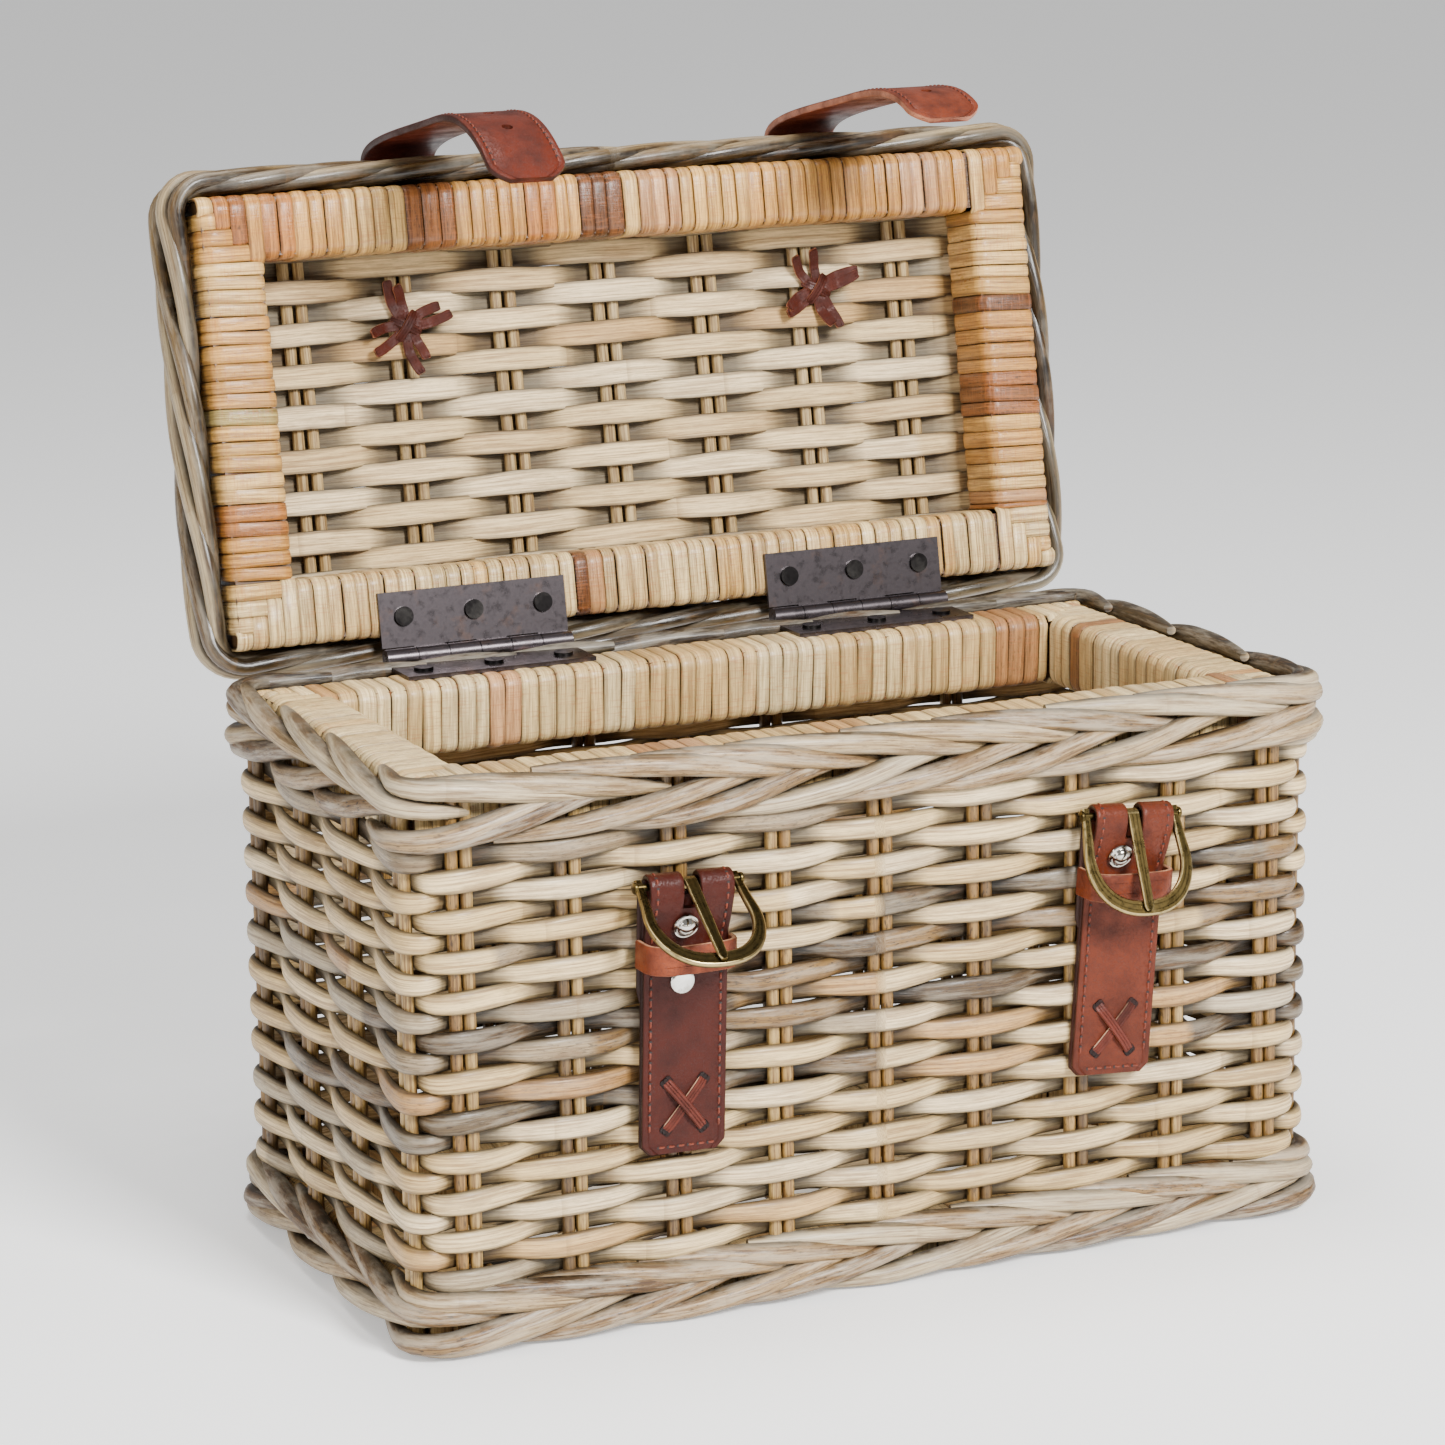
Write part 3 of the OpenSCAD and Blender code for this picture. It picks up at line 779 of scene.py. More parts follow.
# ---------------------------------------------------------------- wrapped frames
def loop_path(half_a, half_b, radius, steps=4):
    """Rounded rectangle as (a, b) points with outward normals, anticlockwise."""
    points = []
    normals = []
    for quarter in range(4):
        ca = (half_a - radius) * (1 if quarter in (0, 3) else -1)
        cb = (half_b - radius) * (1 if quarter in (0, 1) else -1)
        for k in range(steps + 1):
            angle = QUARTER * (quarter + k / steps)
            n = np.array([math.cos(angle), math.sin(angle)])
            points.append(np.array([ca, cb]) + radius * n)
            normals.append(n)
    return np.array(points), np.array(normals)


def band_tint(rng, colours, odd, chance):
    picks = odd if rng.random() < chance else colours
    return aged(picks[rng.integers(len(picks))]) * rng.uniform(0.93, 1.05)


def band_runs(rng, colours, odd, chance):
    """Tints that stay alike for a few bands in a row."""
    while True:
        tint = band_tint(rng, colours, odd, chance)
        for _ in range(rng.integers(1, 4)):
            yield tint * rng.uniform(0.8, 1.06)


SHEATH = 1.25                                        # depth of the cane bands over the core
WRAP_RADIUS = 3.8
CORE = srgb(92, 66, 42)


def wrapped_bar(piece, rng, centre, along, a, b, halves, length, width, colours, odd, chance):
    """Cane bands side by side along a bar, over a dark core."""
    centre = np.array(centre, float)
    along = np.array(along, float)
    a = np.array(a, float)
    b = np.array(b, float)
    loop, normal = loop_path(halves[0] - SHEATH, halves[1] - SHEATH, WRAP_RADIUS)
    ring_normal = normal[:, :1] * a + normal[:, 1:] * b
    flat = loop[:, :1] * a + loop[:, 1:] * b
    core = np.array([[-0.97, -0.97], [0.97, -0.97], [0.97, 0.97], [-0.97, 0.97]])
    core = core * (np.array(halves) - SHEATH)
    ends = [centre - along * length / 2, centre + along * length / 2]
    side = np.cross(b, along)
    ring = core * np.array([np.dot(side, a), 1.0])
    if np.dot(side, a) < 0:
        ring = ring[::-1]
    piece.sweep(ends, b, ring[None], CORE, 0.5)
    at = -length / 2
    seed = rng.random() * 40
    tints = band_runs(rng, colours, odd, chance)
    while at < length / 2 - 1.5:
        wide = min(width * rng.uniform(0.84, 1.2), length / 2 - at)
        lean = rng.uniform(0.1, 0.75)
        shift = (at + wide / 2) + lean * loop[:, 1:] / halves[1] + rng.uniform(-0.15, 0.15)
        path = centre + along * shift + flat
        crown = SHEATH + rng.uniform(-0.15, 0.35)
        seed += 1.0
        # painted shade on the underside and low sides of the band
        tint = next(tints) * CANE_PAINTED_SHADE[None, :, None]
        piece.sweep(path, ring_normal, section(CANE_BAND, wide * 0.5, crown), tint, seed, True)
        at += wide


def mitre_strip(piece, path, normals, half, tint, seed):
    # painted shade on the underside and low sides of the strip
    tint = tint * CANE_PAINTED_SHADE[None, :, None]
    piece.sweep(path, normals, section(CANE_BAND, half, 1.35), tint, seed)


def corner_strips(piece, rng, sx, sy, z0, z1, width, colours, odd, chance):
    """Bands of a corner block, cut in steps along the mitre of its upper and lower face."""
    outer_x = sx * HALF_W
    outer_y = sy * HALF_D
    count = int(round(BAR_W / width))
    pitch = BAR_W / count
    seed = rng.random() * 50
    block = np.array([[-0.97, -0.97], [0.97, -0.97], [0.97, 0.97], [-0.97, 0.97]])
    block = block * np.array([(z1 - z0) / 2 - SHEATH, BAR_W / 2 - SHEATH])
    mid_y = outer_y - sy * BAR_W / 2
    mid_z = (z0 + z1) / 2
    ends = [(outer_x - sx * SHEATH, mid_y, mid_z), (outer_x - sx * BAR_W, mid_y, mid_z)]
    piece.sweep(ends, (0, 1, 0), block[None], CORE, 0.5)
    for k in range(count):
        for family in (0, 1):
            depth = max((k + 1) * pitch, WRAP_RADIUS + 2.7) if family == 0 else k * pitch + 0.6
            if depth < WRAP_RADIUS + 2:
                continue
            seed += 1.0
            # (inward distance, height, normal inward, normal up) round the outer side
            low = z0 + SHEATH
            high = z1 - SHEATH
            keys = [(depth, low + 1.6, 0, -1), (max(depth - 1.2, WRAP_RADIUS + 1), low, 0, -1)]
            for step in range(5):
                angle = QUARTER * step / 4
                inward = SHEATH + WRAP_RADIUS * (1 - math.sin(angle))
                height = low + WRAP_RADIUS * (1 - math.cos(angle))
                keys.append((inward, height, -math.sin(angle), -math.cos(angle)))
            for step in range(5):
                angle = QUARTER * step / 4
                inward = SHEATH + WRAP_RADIUS * (1 - math.cos(angle))
                height = high - WRAP_RADIUS * (1 - math.sin(angle))
                keys.append((inward, height, -math.cos(angle), math.sin(angle)))
            keys += [(max(depth - 1.2, WRAP_RADIUS + 1), high, 0, 1), (depth, high - 1.6, 0, 1)]
            keys = np.array(keys)
            spot = (k + 0.5) * pitch
            if family == 0:
                across = np.full(len(keys), outer_x - sx * spot)
                path = np.stack([across, outer_y - sy * keys[:, 0], keys[:, 1]], -1)
                normal = np.stack([0 * keys[:, 0], -sy * keys[:, 2], keys[:, 3]], -1)
            else:
                across = np.full(len(keys), outer_y - sy * spot)
                path = np.stack([outer_x - sx * keys[:, 0], across, keys[:, 1]], -1)
                normal = np.stack([-sx * keys[:, 2], 0 * keys[:, 0], keys[:, 3]], -1)
            mitre_strip(piece, path, normal, pitch * 0.51, band_tint(rng, colours, odd, chance), seed)


def frame_wrap(name, side, z0, z1, width, replaced, colours, odd, chance, material, body, slot, place=None):
    """One bar of a rectangular frame; the long bars carry the corner blocks."""
    piece = Piece(name, place)
    rng = dice(name)
    z = (z0 + z1) / 2
    half_h = (z1 - z0) / 2
    half_b = BAR_W / 2
    if side in ("front", "back"):
        sy = -1 if side == "front" else 1
        centre = (0, sy * (HALF_D - half_b), z)
        wrapped_bar(piece, rng, centre, (1, 0, 0), (0, 1, 0), (0, 0, 1), (half_b, half_h),
                    2 * (HALF_W - BAR_W), width, colours, odd, chance)
        for sx in (-1, 1):
            corner_strips(piece, rng, sx, sy, z0, z1, width, colours, odd, chance)
    else:
        sx = -1 if side == "left" else 1
        centre = (sx * (HALF_W - half_b), 0, z)
        wrapped_bar(piece, rng, centre, (0, 1, 0), (0, 0, 1), (1, 0, 0), (half_h, half_b),
                    2 * (HALF_D - BAR_W), width, colours, odd, chance)
    return piece.build(material, body, (replaced,), slot)


ALL_SIDES = ("front", "back", "left", "right")
# the lid's back bar faces up when the lid is open and is given paler straw colours: painted light
HONEY_SIDES = {"front": HONEY, "back": STRAW[:2] + HONEY[2:3], "left": HONEY, "right": HONEY}
HONEY_CHANCE = {"front": 0.34, "back": 0.1, "left": 0.25, "right": 0.22}
for side in ALL_SIDES:
    frame_wrap(f"rim_{side}_wrap", side, BODY_H - BAR_H, BODY_H, 6.6, f"rim_{side}",
               STRAW, STRAW_ODD, 0.12, CANE, "basket", "cane")
    frame_wrap(f"base_{side}_wrap", side, 0.6, BASE_H, 8.4, f"base_{side}",
               STRAW, TAN, 0.3, CANE, "basket", "cane")
    frame_wrap(f"lid_{side}_wrap", side, LID_Z, LID_SKIN_Z, 5.8, f"lid_frame_{side}",
               HONEY_SIDES[side], HONEY_ODD, HONEY_CHANCE[side], HONEY_CANE, "lid", "honey_cane", OPEN_LID)


# ---------------------------------------------------------------- woven panels
def woven_panel(name, half_x, rows_y, posts, z_mid, swing, half, thick,
                body, replaced, slot, place=None, parity=0):
    """Strands along X over and under pairs of rods, flat side down and round side up."""
    piece = Piece(name, place)
    spread = posts[1] - posts[0]
    posts = np.concatenate([[posts[0] - spread], posts, [posts[-1] + spread]])
    x = np.linspace(-half_x, half_x, int(half_x / 2))
    for row, y in enumerate(rows_y):
        rng = dice(f"{name}{row}")
        wave = over_under(x, posts, row + parity)
        crest = np.abs(wave) ** 1.4
        width = half - 0.35 * (1 - crest) + ripple(x, rng, 0.5, (5, 9, 14, 22, 37, 60, 95))
        sway = ripple(x, rng, 0.9, (1, 2, 3, 5)) + ripple(x, rng, 0.5, (9, 14, 22))
        path = np.stack([x, y + sway, z_mid - thick / 2 + swing * wave], axis=-1)
        # painted shade along each strand's edges and where it dives behind a pair of rods
        tint = runs(x, rng, PANEL * 3 + TAN[2:], 400) * woven_painted_shade(wave)
        seed = row + rng.random()
        piece.sweep(path, (0, 0, 1), section(HALF_ROUND, width, thick + 0 * x), tint, seed)
    return piece.build(FLAT, body, replaced, slot)


LID_ROWS = np.arange(-10, 11) * 8.0
woven_panel("lid_weave_strands", HALF_W - 1.2, LID_ROWS, LID_X, LID_STAKE_Z + 0.1, 3.72, 4.7, 2.25,
            "lid", ("lid_weave",), "rattan", OPEN_LID)
BASE_ROWS = np.arange(-7, 8) * 8.0
BASE_MID = 4.0
woven_panel("base_weave_strands", HALF_W - BAR_W - 0.2, BASE_ROWS, LID_X, BASE_MID, 2.4, 4.2, 2.0,
            "basket", ("base_panel",), "rattan")


def panel_rods(name, draws, reach, z, gap, radius, colours, body, replaced, slot, place=None):
    """Pairs of rods across a panel, from front to back."""
    piece = Piece(name, place)
    ends = [[np.array([x, y, z]) for y in (-reach, reach)] for x in LID_X]
    rod_pairs(piece, dice(draws), ends, gap, ALONG_X, radius, colours)
    return piece.build(RODS, body, replaced, slot)


panel_rods("lid_stakes_rods", "lid rods", HALF_D - 0.8, LID_STAKE_Z, 6.0, 2.35, LID_STAKE,
           "lid", ("lid_stakes",), "stake_rattan", OPEN_LID)
panel_rods("base_rods", "base rods", HALF_D - BAR_W, BASE_MID, 4.4, 1.5, STAKE,
           "basket", (), "rattan")


# ---------------------------------------------------------------- leather
def curve_points(keys, step=1.0):
    """Evenly spaced points along a polyline."""
    keys = np.array(keys, float)
    gaps = np.linalg.norm(np.diff(keys, axis=0), axis=1)
    s = np.concatenate([[0], np.cumsum(gaps)])
    places = np.linspace(0, s[-1], max(3, int(s[-1] / step) + 1))
    return np.stack([np.interp(places, s, keys[:, k]) for k in range(keys.shape[1])], axis=-1), places


def smoothed(points, rounds):
    points = points.copy()
    for _ in range(rounds):
        points[1:-1] = (points[:-2] + 2 * points[1:-1] + points[2:]) / 4
    return points


def leather_ring(widths, thick, face, edge, groove=0.35, inset=2.6):
    """Section rings and their tints, with the raw edges in their own colour."""
    rings = np.array([slab(w, thick, groove, inset) for w in widths])
    tint = np.broadcast_to(face, rings.shape[:2] + (3,)).copy()
    m = rings.shape[1]
    for k in (1, 2, 3, m - 2, m - 3, m - 4):
        tint[:, k] = edge
    return rings, tint


# painted shadow: near-black tint for the dent where each stitch goes into the leather
STITCH_HOLE_SHADOW = np.array([0.012, 0.006, 0.004, 1.0])


def stitch(piece, path, normals, tint, gap=3.4, size=0.42, lift=0.1):
    """A line of short threads along a path."""
    length = np.concatenate([[0], np.cumsum(np.linalg.norm(np.diff(path, axis=0), axis=1))])
    for start in np.arange(gap * 0.5, length[-1] - gap * 0.6, gap):
        places = np.linspace(start, start + gap * 0.66, 5)
        line = np.stack([np.interp(places, length, path[:, k]) for k in range(3)], axis=-1)
        normal = np.stack([np.interp(places, length, normals[:, k]) for k in range(3)], axis=-1)
        arch = np.array([-0.3, lift, 1.4 * lift, lift, -0.3])
        line = line + unit(normal) * arch[:, None]
        heights = np.array([0.3, 0.42, 0.42, 0.42, 0.3])
        piece.sweep(line, normal, section(circle(6), size, heights), tint, start)
        # near-black dent at the start of each stitch: painted shadow of its hole
        dent = line[[0, 0]] + unit(normal[[0, 0]]) * np.array([[0.1], [0.5]])
        ahead = unit(np.gradient(line, axis=0))[[0, 0]]
        piece.sweep(dent, ahead, section(circle(8), 0.62, 0.5), STITCH_HOLE_SHADOW, start)


RED_FACE = (srgb(60, 17, 7), srgb(90, 36, 17))
RED_EDGE = (srgb(36, 22, 18), srgb(44, 26, 20))


STITCH = srgb(160, 92, 52)
LOOP_R = 3.75                                        # the strap's middle, round the buckle bar


def front_strap(side):
    """Doubled strap over the buckle bar, with a slot for the tongue and a laced foot."""
    piece = Piece(f"front_strap_{SIDES[side]}_leather", at_bar(side))
    threads = Piece(f"front_strap_{SIDES[side]}_stitches", at_bar(side))
    keys = [(LOOP_R, -STRAP_L), (LOOP_R, 0)]
    keys += [(LOOP_R * math.cos(a), LOOP_R * math.sin(a)) for a in np.linspace(0.2, math.pi - 0.2, 9)]
    keys += [(-LOOP_R, 0), (-3.72, -4), (-1.2, -12.5), (1.2, -18.6), (1.55, -22), (1.55, -STRAP_L + 0.6)]
    line, s = curve_points(keys, 1.0)
    line = smoothed(line, 3)
    top = np.argmax(line[:, 1])
    end = np.minimum(s, s[-1] - s)
    width = STRAP_W - 2 * np.clip(3.2 - end, 0, 3.2)
    total = s[-1]
    slot_from = s[top] - 9.5
    slot_to = s[top] + 13.5
    path = np.stack([0 * s, line[:, 0], line[:, 1]], axis=-1)
    along = unit(np.gradient(path, axis=0))
    normal = np.cross(along, (1.0, 0, 0))
    normal = normal * np.sign(np.dot(normal[top], (0, 0, 1)))
    face, edge = RED_FACE[side], RED_EDGE[side]
    low = s <= slot_from
    high = s >= slot_to
    for part in (low, high):
        rings, tint = leather_ring(width[part], 2.0, face, edge, 0.4)
        piece.sweep(path[part], normal[part], rings, tint, 1.0)
    # on both sides of the slot the strap is two narrow tails
    reach = (s > slot_from - 1.5) & (s < slot_to + 1.5)
    tail = (STRAP_W - 6.2) / 2
    for sign in (-1, 1):
        rings, tint = leather_ring(np.full(reach.sum(), tail), 2.0, face, edge, 0.0)
        shifted = path[reach] + np.array([sign * (STRAP_W / 2 - tail / 2), 0, 0])
        piece.sweep(shifted, normal[reach], rings, tint, 2.0 + sign)
        shown = (s > s[top] - 3) & (s < total - 7)
        seam = path[shown] + normal[shown] * 0.85 + np.array([sign * (STRAP_W / 2 - 2.7), 0, 0])
        stitch(threads, seam, normal[shown], STITCH, 3.8)
    foot = np.stack([np.linspace(-STRAP_W / 2 + 4.2, STRAP_W / 2 - 4.2, 20)] * 3, axis=-1)
    foot = foot * (1.0, 0, 0) + np.array([0, 0.6, 3.0 - STRAP_L])
    stitch(threads, foot, foot * 0 + np.array([0, -1.0, 0]), STITCH, 3.8)
    backing = Piece(f"front_strap_{SIDES[side]}_backing", at_bar(side))
    line = np.array([(-1.9, 4.15, z) for z in np.linspace(-46.0, -3.0, 12)])
    widths = STRAP_W - 1.0 - 2.2 * np.clip(3 + (-46.0 - line[:, 2]) / 2, 0, 3)
    rings, tint = leather_ring(widths, 1.1, RED_EDGE[side] * 1.6, RED_EDGE[side], 0.0)
    backing.sweep(line, (0, 1.0, 0), rings, tint, 4.0)
    backing.build(DARK_LEATHER, "basket")
    leather = (RED_LEATHER, TAN_LEATHER)[side]
    piece.build(leather, "basket", (f"front_strap_{SIDES[side]}",), ("dark_leather", "tan_leather")[side])
    threads.build(THREAD, "basket")


NICKEL_TINT = srgb(210, 206, 200)
BRASS_TINT = srgb(150, 130, 90)
KEEPER_FACE = (srgb(122, 56, 30), srgb(112, 50, 28))


def keeper(side):
    """Loop of thick leather that stands off the strap, with pale raw edges."""
    piece = Piece(f"keeper_{SIDES[side]}_leather", at_bar(side))
    half = STRAP_W / 2 + 0.9
    front = -7.95
    keys = [(half, 4.2), (half, -1.0), (half - 0.5, -4.6), (half - 2.8, -6.9), (half - 6.5, front)]
    keys = keys + [(-x, y) for x, y in reversed(keys)]
    line, s = curve_points(keys, 1.0)
    line = smoothed(line, 6)
    path = np.stack([line[:, 0], line[:, 1], -25 + 0.25 * np.sin(s / 7)], axis=-1)
    along = unit(np.gradient(path, axis=0))
    normal = np.cross((0, 0, 1.0), along)
    normal = normal * np.sign(np.dot(normal[len(s) // 2], (0, -1, 0)))
    rings, tint = leather_ring(np.full(len(s), 10.4), 1.9, KEEPER_FACE[side], srgb(206, 152, 116), 0.0)
    piece.sweep(path, normal, rings, tint, 3.0)
    piece.build(TAN_LEATHER, "basket", (f"keeper_{SIDES[side]}",), "tan_leather")


def rivets():
    """Domed rivets in a ring under the tongues, and one flat rivet on the left strap."""
    piece = Piece("strap_rivets_metal")
    dome = [(4.6, 0.0), (4.8, 0.35), (4.6, 0.8), (4.0, 0.95), (3.75, 0.7), (3.6, 0.75)]
    dome += [(3.45 * math.cos(a), 0.75 + 2.3 * math.sin(a)) for a in np.linspace(0.1, 1.5, 8)]
    for side in (0, 1):
        lean = Matrix.Rotation(math.radians(90 + 22), 4, "X")
        spot = Matrix.Translation(Vector((-1.5 - 2.5 * side, -1.9, -14.6)))
        piece.revolve(at_bar(side) @ spot @ lean, dome, NICKEL_TINT)
    flat = [(4.6, 0.0), (4.6, 0.5), (4.3, 0.8), (3.0, 1.0), (1.5, 1.08), (0.4, 1.1)]
    spot = Matrix.Translation(Vector((-1.5, 0.55, -35)))
    piece.revolve(at_bar(0) @ spot @ Matrix.Rotation(QUARTER, 4, "X"), flat, NICKEL_TINT)
    piece.build(NICKEL, "basket", ("strap_rivets",), "nickel")


def thong(piece, keys, width, thick, face, edge, normal=(0, -1, 0), seed=0.0, rounds=4):
    """A short lace through points given in three dimensions."""
    line, s = curve_points(keys, 0.8)
    line = smoothed(line, rounds)
    ends = np.minimum(s, s[-1] - s)
    widths = width - 0.9 * np.clip(1.0 - ends, 0, 1.0)
    rings, tint = leather_ring(widths, thick, face, edge, 0.0, 0.9)
    piece.sweep(line, normal, rings, tint, seed)


LACE_Z = 18 - STRAP_L                                # where the crossed thongs meet


def lacing():
    """Crossed thongs that tie each front strap to the weave."""
    piece = Piece("strap_lacing_thongs")
    for side in (0, 1):
        place = at_bar(side)
        front = place.to_3x3() @ Vector((0, -1, 0))
        for turn, lift in ((39, 0.7), (-39, 1.9)):
            a = math.radians(turn)
            keys = []
            for t in (-1, -0.88, -0.5, 0, 0.5, 0.88, 1):
                height = {1.0: -1.2, 0.88: 0.4, 0.5: lift * 0.9, 0: lift}[abs(t)]
                reach = 12.2 * t
                keys.append((reach * math.sin(a), 0.55 - height, LACE_Z + reach * math.cos(a)))
            keys = moved(np.array(keys), place)
            raw = srgb(228, 186, 150) if turn > 0 else srgb(112, 56, 38)
            thong(piece, keys, 3.7, 1.2, srgb(96, 40, 28), raw, front, turn)
            # near-black slabs at both ends of each thong: painted shade in the slits that it goes through
            for end in (-1, 1):
                spot = np.array([math.sin(a), 0, math.cos(a)]) * end
                slit = np.array([spot * 9.6, spot * 10.2, spot * 12.4, spot * 13.0])
                slit = slit + np.array([0, 0.42, LACE_Z])
                rings = np.array([slab(w, 0.5, 0.0, 0.8) for w in (3.2, 4.6, 4.6, 3.2)])
                piece.sweep(moved(slit, place), front, rings, srgb(20, 9, 7), 2.0)
    piece.build(DARK_LEATHER, "basket", ("strap_lacing",), "lacing")


def edge_marks():
    """Tints of a flat bar whose age marks the rubbed edges."""
    marks = np.zeros((20, 4))
    for k in (3, 4, 5, 14, 15, 16):
        marks[k, 3] = 1.0
    return marks[None]


def buckle(side):
    """Flat horseshoe, wider at its foot, with its bar."""
    piece = Piece(f"buckle_{SIDES[side]}_brass", at_buckle(side))
    keys = [(-18.3, 2.6), (-18.6, -3), (-19.2, -10)]
    for a in np.linspace(0.0, math.pi, 41):
        across = math.copysign(abs(math.cos(a)) ** 0.82, math.cos(a))
        keys.append((-19.9 * across, -15.6 - 19.4 * math.sin(a) ** 0.95))
    keys += [(19.2, -10), (18.6, -3), (18.3, 2.6)]
    line, s = curve_points(keys, 1.2)
    line = smoothed(line, 3)
    path = np.stack([line[:, 0], 0 * s, line[:, 1]], axis=-1)
    foot = np.clip(np.sin(math.pi * s / s[-1]), 0, 1)
    rings = np.array([slab(3.2 + 2.6 * f ** 1.4, 2.2, 0.0, 1.4) for f in foot])
    piece.sweep(path, (0, -1, 0), rings, edge_marks(), 1.0)
    cap = [(1.2, 0), (2.0, 0.25), (2.2, 0.8), (2.0, 1.4), (1.2, 1.7)]
    for sign in (-1, 1):
        turn = Matrix.Rotation(sign * QUARTER, 4, "Y")
        piece.revolve(Matrix.Translation(Vector((sign * 19.2, 0, 0))) @ turn, cap, BRASS_TINT)
    ends = [(-19.6, 0, 0), (19.6, 0, 0)]
    piece.sweep(ends, (0, -1, 0), section(circle(16), 1.45, 1.45), BRASS_TINT, 2.0)
    piece.build(BRASS, f"buckle_{SIDES[side]}", (f"buckle_{SIDES[side]}",), "antique_brass")


def tongue(side):
    """Sleeve round the bar with a flat shank down to the foot of the buckle."""
    piece = Piece(f"tongue_{SIDES[side]}_brass", at_buckle(side))
    angles = np.linspace(0, 2 * math.pi, 25)[:-1]
    ring = np.stack([0 * angles, 2.05 * np.sin(angles), 2.05 * np.cos(angles)], axis=-1)
    normals = unit(ring)
    piece.sweep(ring, normals, slab(5.2, 0.8, 0.0, 1.0)[None], (0, 0, 0, 0.55), 1.0, True)
    z = np.array([-0.5, -3, -8, -16, -24, -30, -34, -36.4])
    y = np.array([-2.25, -2.35, -2.3, -2.25, -2.2, -2.2, -2.15, -2.0])
    line, s = curve_points(np.stack([0 * z, y, z], axis=-1), 1.2)
    widths = 5.0 - 1.2 * s / s[-1] - 1.6 * np.clip((s - s[-1] + 2) / 2, 0, 1) ** 2
    rings = np.array([slab(w, 1.5, 0.0, 1.2) for w in widths])
    piece.sweep(line, (0, -1, 0), rings, edge_marks(), 2.0)
    piece.build(BRASS, f"tongue_{SIDES[side]}", (f"tongue_{SIDES[side]}",), "antique_brass")


for side in (0, 1):
    front_strap(side)
    keeper(side)
    buckle(side)
    tongue(side)
rivets()
lacing()


# ---------------------------------------------------------------- lid straps
TAIL_MID = AXIS_Z - LID_TOP_Z - 0.2 - 1.5
ARCH = [(188.4, TAIL_MID), (199, TAIL_MID), (197, -5), (198.5, 40.7)]
TIPS = (
    [(198.5, 43.2), (198.5, 62), (192, 80), (171, 94)],
    [(198.5, 43.2), (198.5, 62), (197, 78), (184, 90)],
)


def bezier(keys, count):
    t = np.linspace(0, 1, count)[:, None]
    k = np.array(keys, float)
    u = 1 - t
    return u ** 3 * k[0] + 3 * u * u * t * k[1] + 3 * u * t * t * k[2] + t ** 3 * k[3]


TAIL_FACE = (srgb(88, 34, 20), srgb(108, 48, 28))
TAIL_EDGE = (srgb(60, 30, 22), srgb(176, 112, 84))


HOLE_R = 2.1
HOLES_AT = (0.30, 0.52, 0.74)                        # parts of the way along the tip


def punched(obj, cutters, face):
    """Cuts round holes through a strap, and tints their new corners like its face."""
    for spot, direction in cutters:
        tool = Piece("tool")
        turn = Vector(direction).to_track_quat("Z", "Y").to_matrix().to_4x4()
        profile = [(HOLE_R, -5.0), (HOLE_R, 5.0)]
        tool.revolve(Matrix.Translation(Vector(spot)) @ turn, profile, srgb(30, 16, 12), 16)
        mesh_tool = tool.build(obj.data.materials[0], None)
        cut = obj.modifiers.new("hole", "BOOLEAN")
        cut.operation = "DIFFERENCE"
        cut.solver = "EXACT"
        cut.object = mesh_tool
        graph = bpy.context.evaluated_depsgraph_get()
        mesh = bpy.data.meshes.new_from_object(obj.evaluated_get(graph))
        obj.modifiers.clear()
        mesh.set_sharp_from_angle(angle=math.radians(35))
        obj.data = mesh
        bpy.data.objects.remove(mesh_tool)
    tint = obj.data.attributes["tint"].data
    rgba = np.empty(4 * len(tint))
    tint.foreach_get("color", rgba)
    rgba = rgba.reshape(-1, 4)
    rgba[rgba[:, :3].min(axis=1) > 0.98] = four(face)
    tint.foreach_set("color", rgba.ravel())


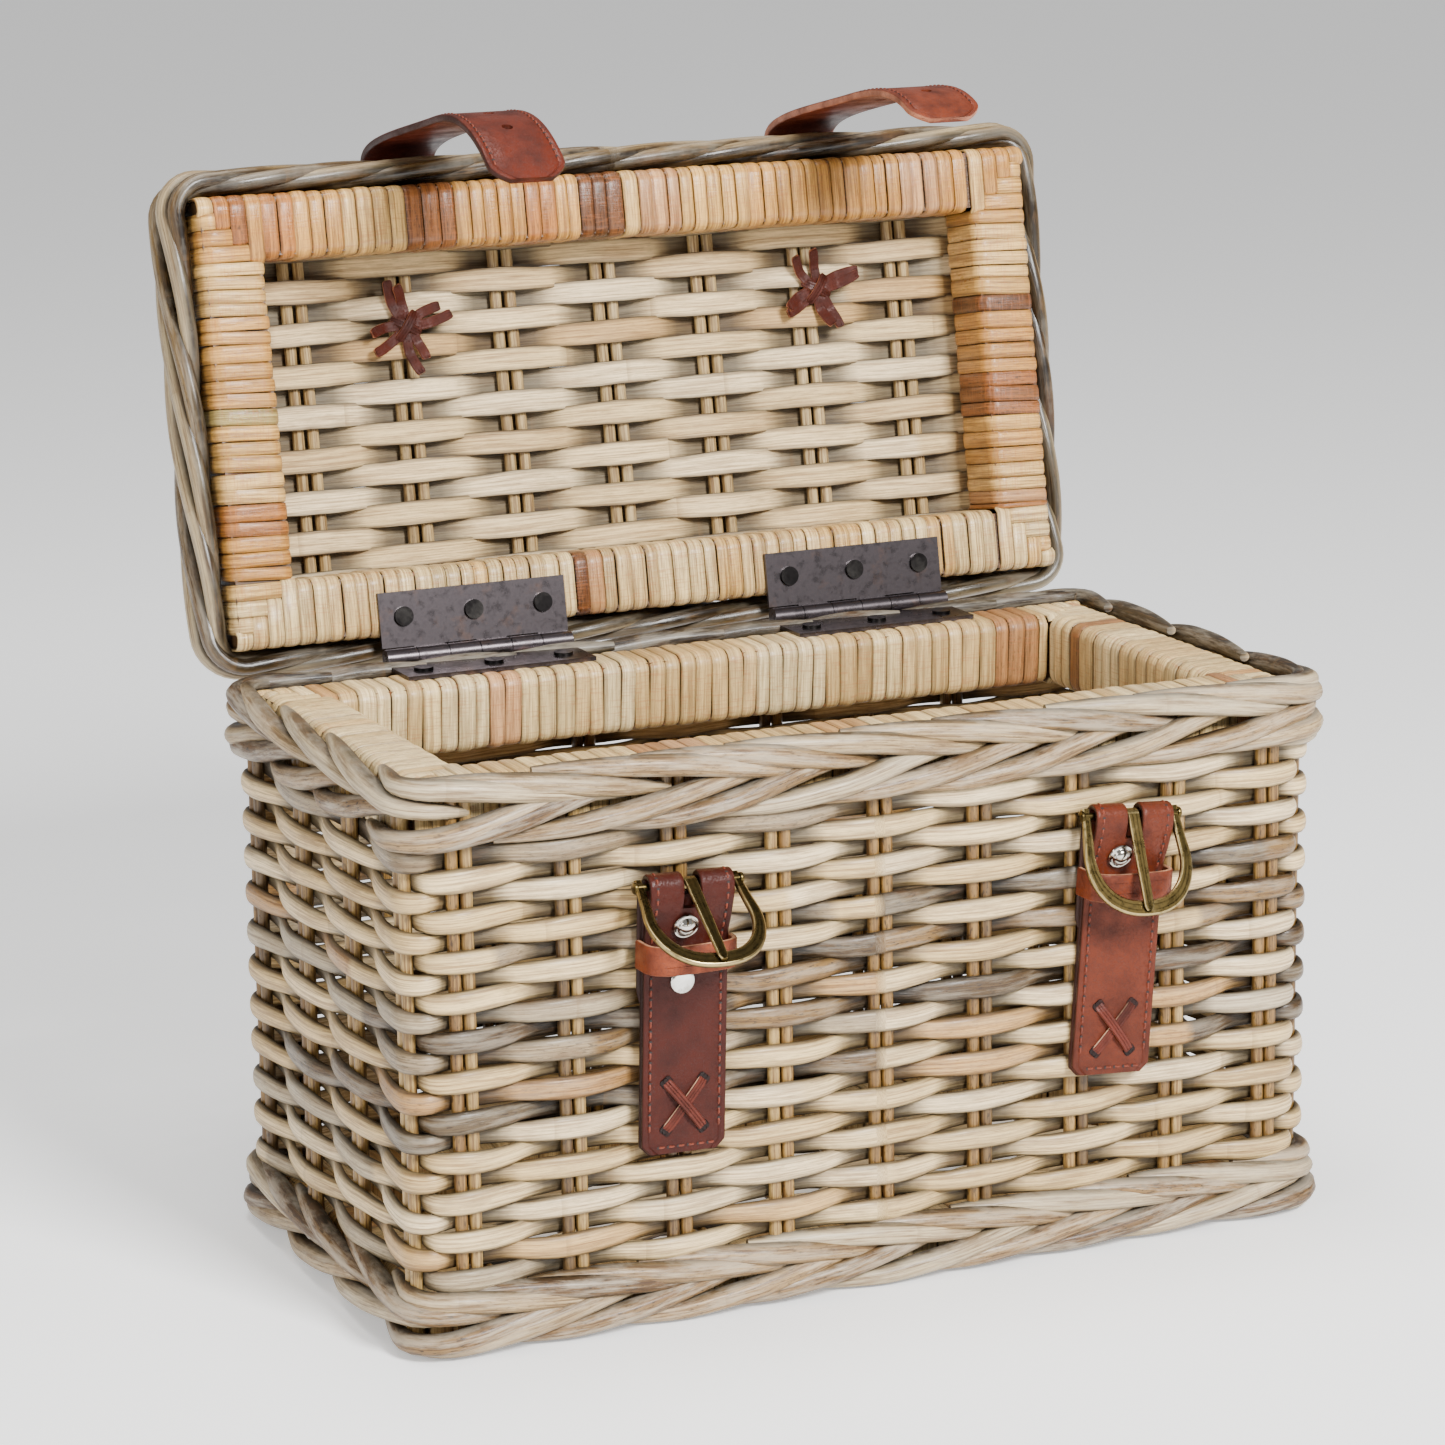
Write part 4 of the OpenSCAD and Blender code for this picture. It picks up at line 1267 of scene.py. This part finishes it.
def lid_strap(side):
    """A strap flat on the lid, over its edge and down in an arch, ending in a punched tip."""
    name = SIDES[side]
    fixed = np.stack([np.linspace(100, 187.4, 30), np.full(30, TAIL_MID)], axis=-1)
    arch = bezier(ARCH, 40)
    half = 22
    first = np.concatenate([fixed, arch[:half]])
    second = np.concatenate([arch[half - 1:], bezier(TIPS[side], 36)])
    for part, line in ((0, first), (1, second)):
        piece = Piece((f"lid_strap_{name}_leather", f"lid_strap_{name}_tip")[part], OPEN_LID)
        threads = Piece((f"lid_strap_{name}_stitches", f"lid_strap_{name}_tip_stitches")[part], OPEN_LID)
        path = np.stack([0 * line[:, 0] + TAIL_X[side], AXIS_Y - line[:, 0], AXIS_Z - line[:, 1]], axis=-1)
        s = np.concatenate([[0], np.cumsum(np.linalg.norm(np.diff(path, axis=0), axis=1))])
        along = unit(np.gradient(path, axis=0))
        normal = np.cross((1.0, 0, 0), along)
        outward = (0, 0, 1) if part == 0 else (0, -1, 0)
        normal = normal * np.sign(np.dot(normal[3], outward))
        left = s if part == 0 else s[-1] - s
        tip = 8.0 if part else 3.0
        width = TAIL_W - (13.0 if part else 5.0) * np.clip(1 - left / tip, 0, 1) ** 2.2
        rings, tint = leather_ring(width, 2.9, TAIL_FACE[side], TAIL_EDGE[side], 0.45)
        piece.sweep(path, normal, rings, tint, 5.0 + side)
        for sign in (-1, 1):
            seam = path + normal * 1.3 + np.stack([sign * (width / 2 - 2.6), 0 * s, 0 * s], axis=-1)
            shown = left > tip * 0.5
            stitch(threads, seam[shown], normal[shown], STITCH)
        slot = "dark_leather"
        if part == 0:
            obj = piece.build(DARK_LEATHER, None, (f"lid_strap_{name}", f"strap_arch_{name}"), slot)
        else:
            obj = piece.build(DARK_LEATHER, None, (f"strap_tip_{name}",), slot)
            holes = []
            for at in HOLES_AT:
                k = int(at * (len(path) - 1))
                spot = OPEN_LID @ Vector(path[k])
                holes.append((spot, OPEN_LID.to_3x3() @ Vector(normal[k])))
            punched(obj, holes, TAIL_FACE[side])
        seams = threads.build(THREAD, None)
        for thing in (obj, seams):
            if part == 0:
                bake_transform(thing)
            else:
                low, high = on_lid(198.5, 35), on_lid(198.5, 49)
                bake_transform(thing)
                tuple(low)
                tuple(high)


def lace_knot(side):
    """A lace tied in a star inside the lid, its tails curling off the weave."""
    spot = ((-86.6, 125.5), (89.2, 127.8))[side]
    place = OPEN_LID @ Matrix.Translation(Vector((spot[0], AXIS_Y - spot[1], LID_SKIN_Z)))
    piece = Piece(f"lace_knot_{SIDES[side]}_thongs", place)
    rng = dice("knot" + SIDES[side])
    face = srgb(72, 28, 17)
    edge = srgb(170, 108, 78)
    for k in range(8):
        a = math.radians(45 * k + rng.uniform(-10, 10))
        reach = rng.uniform(14.5, 19.5)
        curl = rng.uniform(3, 7)
        keys = [(0, 0, -1.4)]
        for t, drop in ((0.3, 2.2), (0.55, 1.6), (0.8, 2.0 + curl * 0.35), (1.0, 1.6 + curl * 0.7)):
            bend = a + 0.3 * t * (1 if k % 2 else -1)
            keys.append((reach * t * math.cos(bend), reach * t * math.sin(bend), -drop))
        thong(piece, keys, 4.0, 1.2, face, edge, (0, 0, -1), k, 3)
    for k, (a, lift) in enumerate(((0.5, 3.4), (2.2, 4.4))):
        steps = (-1, -0.6, -0.2, 0.2, 0.6, 1)
        keys = [(6.5 * t * math.cos(a), 6.5 * t * math.sin(a), -lift + 2.2 * t * t) for t in steps]
        thong(piece, keys, 3.6, 1.2, face, edge, (0, 0, -1), 20 + k, 3)
    piece.build(DARK_LEATHER, "lid", (f"lace_knot_{SIDES[side]}",), "lacing")


for side in (0, 1):
    lid_strap(side)
    lace_knot(side)


# ---------------------------------------------------------------- metal that keeps its CAD shape
def dress(node, material):
    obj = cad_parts[node]
    obj.data.materials.clear()
    obj.data.materials.append(material)


for side in SIDES:
    for part in ("body_leaf", "lid_leaf", "pin"):
        dress(f"hinge_{side}_{part}", BRONZE)
dress("body_hinge_screws", BLACK)
dress("lid_hinge_screws", BLACK)


# ---------------------------------------------------------------- floor, light and camera
def pale_floor():
    mesh = bpy.data.meshes.new("floor")
    reach = 30.0
    corners = [(-reach, -reach, 0), (reach, -reach, 0), (reach, reach, 0), (-reach, reach, 0)]
    mesh.from_pydata(corners, [], [(0, 1, 2, 3)])
    floor = bpy.data.objects.new("floor", mesh)
    bpy.context.scene.collection.objects.link(floor)
    g = Shading("pale_floor")
    white = {"Base Color": (0.9, 0.9, 0.895, 1), "Roughness": 0.7}
    white.update({"Emission Color": (1.0, 1.0, 1.0, 1), "Emission Strength": 0.4})
    g.feed(g.shader.inputs, white)
    mesh.materials.append(g.material)
    floor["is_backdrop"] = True


def area_light(name, place, aim, size, power):
    data = bpy.data.lights.new(name, "AREA")
    data.shape = "RECTANGLE"
    data.size = size[0]
    data.size_y = size[1]
    data.energy = power
    light = bpy.data.objects.new(name, data)
    light.location = place
    way = Vector(aim) - Vector(place)
    light.rotation_euler = way.to_track_quat("-Z", "Y").to_euler()
    bpy.context.scene.collection.objects.link(light)


def studio():
    world = bpy.data.worlds.new("studio")
    world.use_nodes = True
    sky = world.node_tree.nodes["Background"]
    sky.inputs["Color"].default_value = (1.0, 1.0, 1.0, 1)
    sky.inputs["Strength"].default_value = 0.34
    bpy.context.scene.world = world
    middle = (0.0, 0.0, 0.2)
    area_light("key", (0.35, -1.9, 1.5), middle, (0.6, 0.6), 125)
    area_light("fill", (-1.7, -0.9, 0.8), middle, (1.0, 1.0), 16)
    area_light("top", (-0.2, 0.2, 1.9), middle, (0.9, 0.7), 22)


def photo_camera():
    data = bpy.data.cameras.new("camera")
    data.lens = 110.64
    data.sensor_width = 36.0
    camera = bpy.data.objects.new("camera", data)
    camera.location = (-0.68166, -1.45475, 0.56582)
    camera.rotation_euler = [math.radians(a) for a in (76.85, 0.83, -24.63)]
    bpy.context.scene.collection.objects.link(camera)
    bpy.context.scene.camera = camera


pale_floor()
studio()
photo_camera()

sizes = {"cad": cad_bounds, "visual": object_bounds()}
{key: [list(corner) for corner in value] for key, value in sizes.items()}
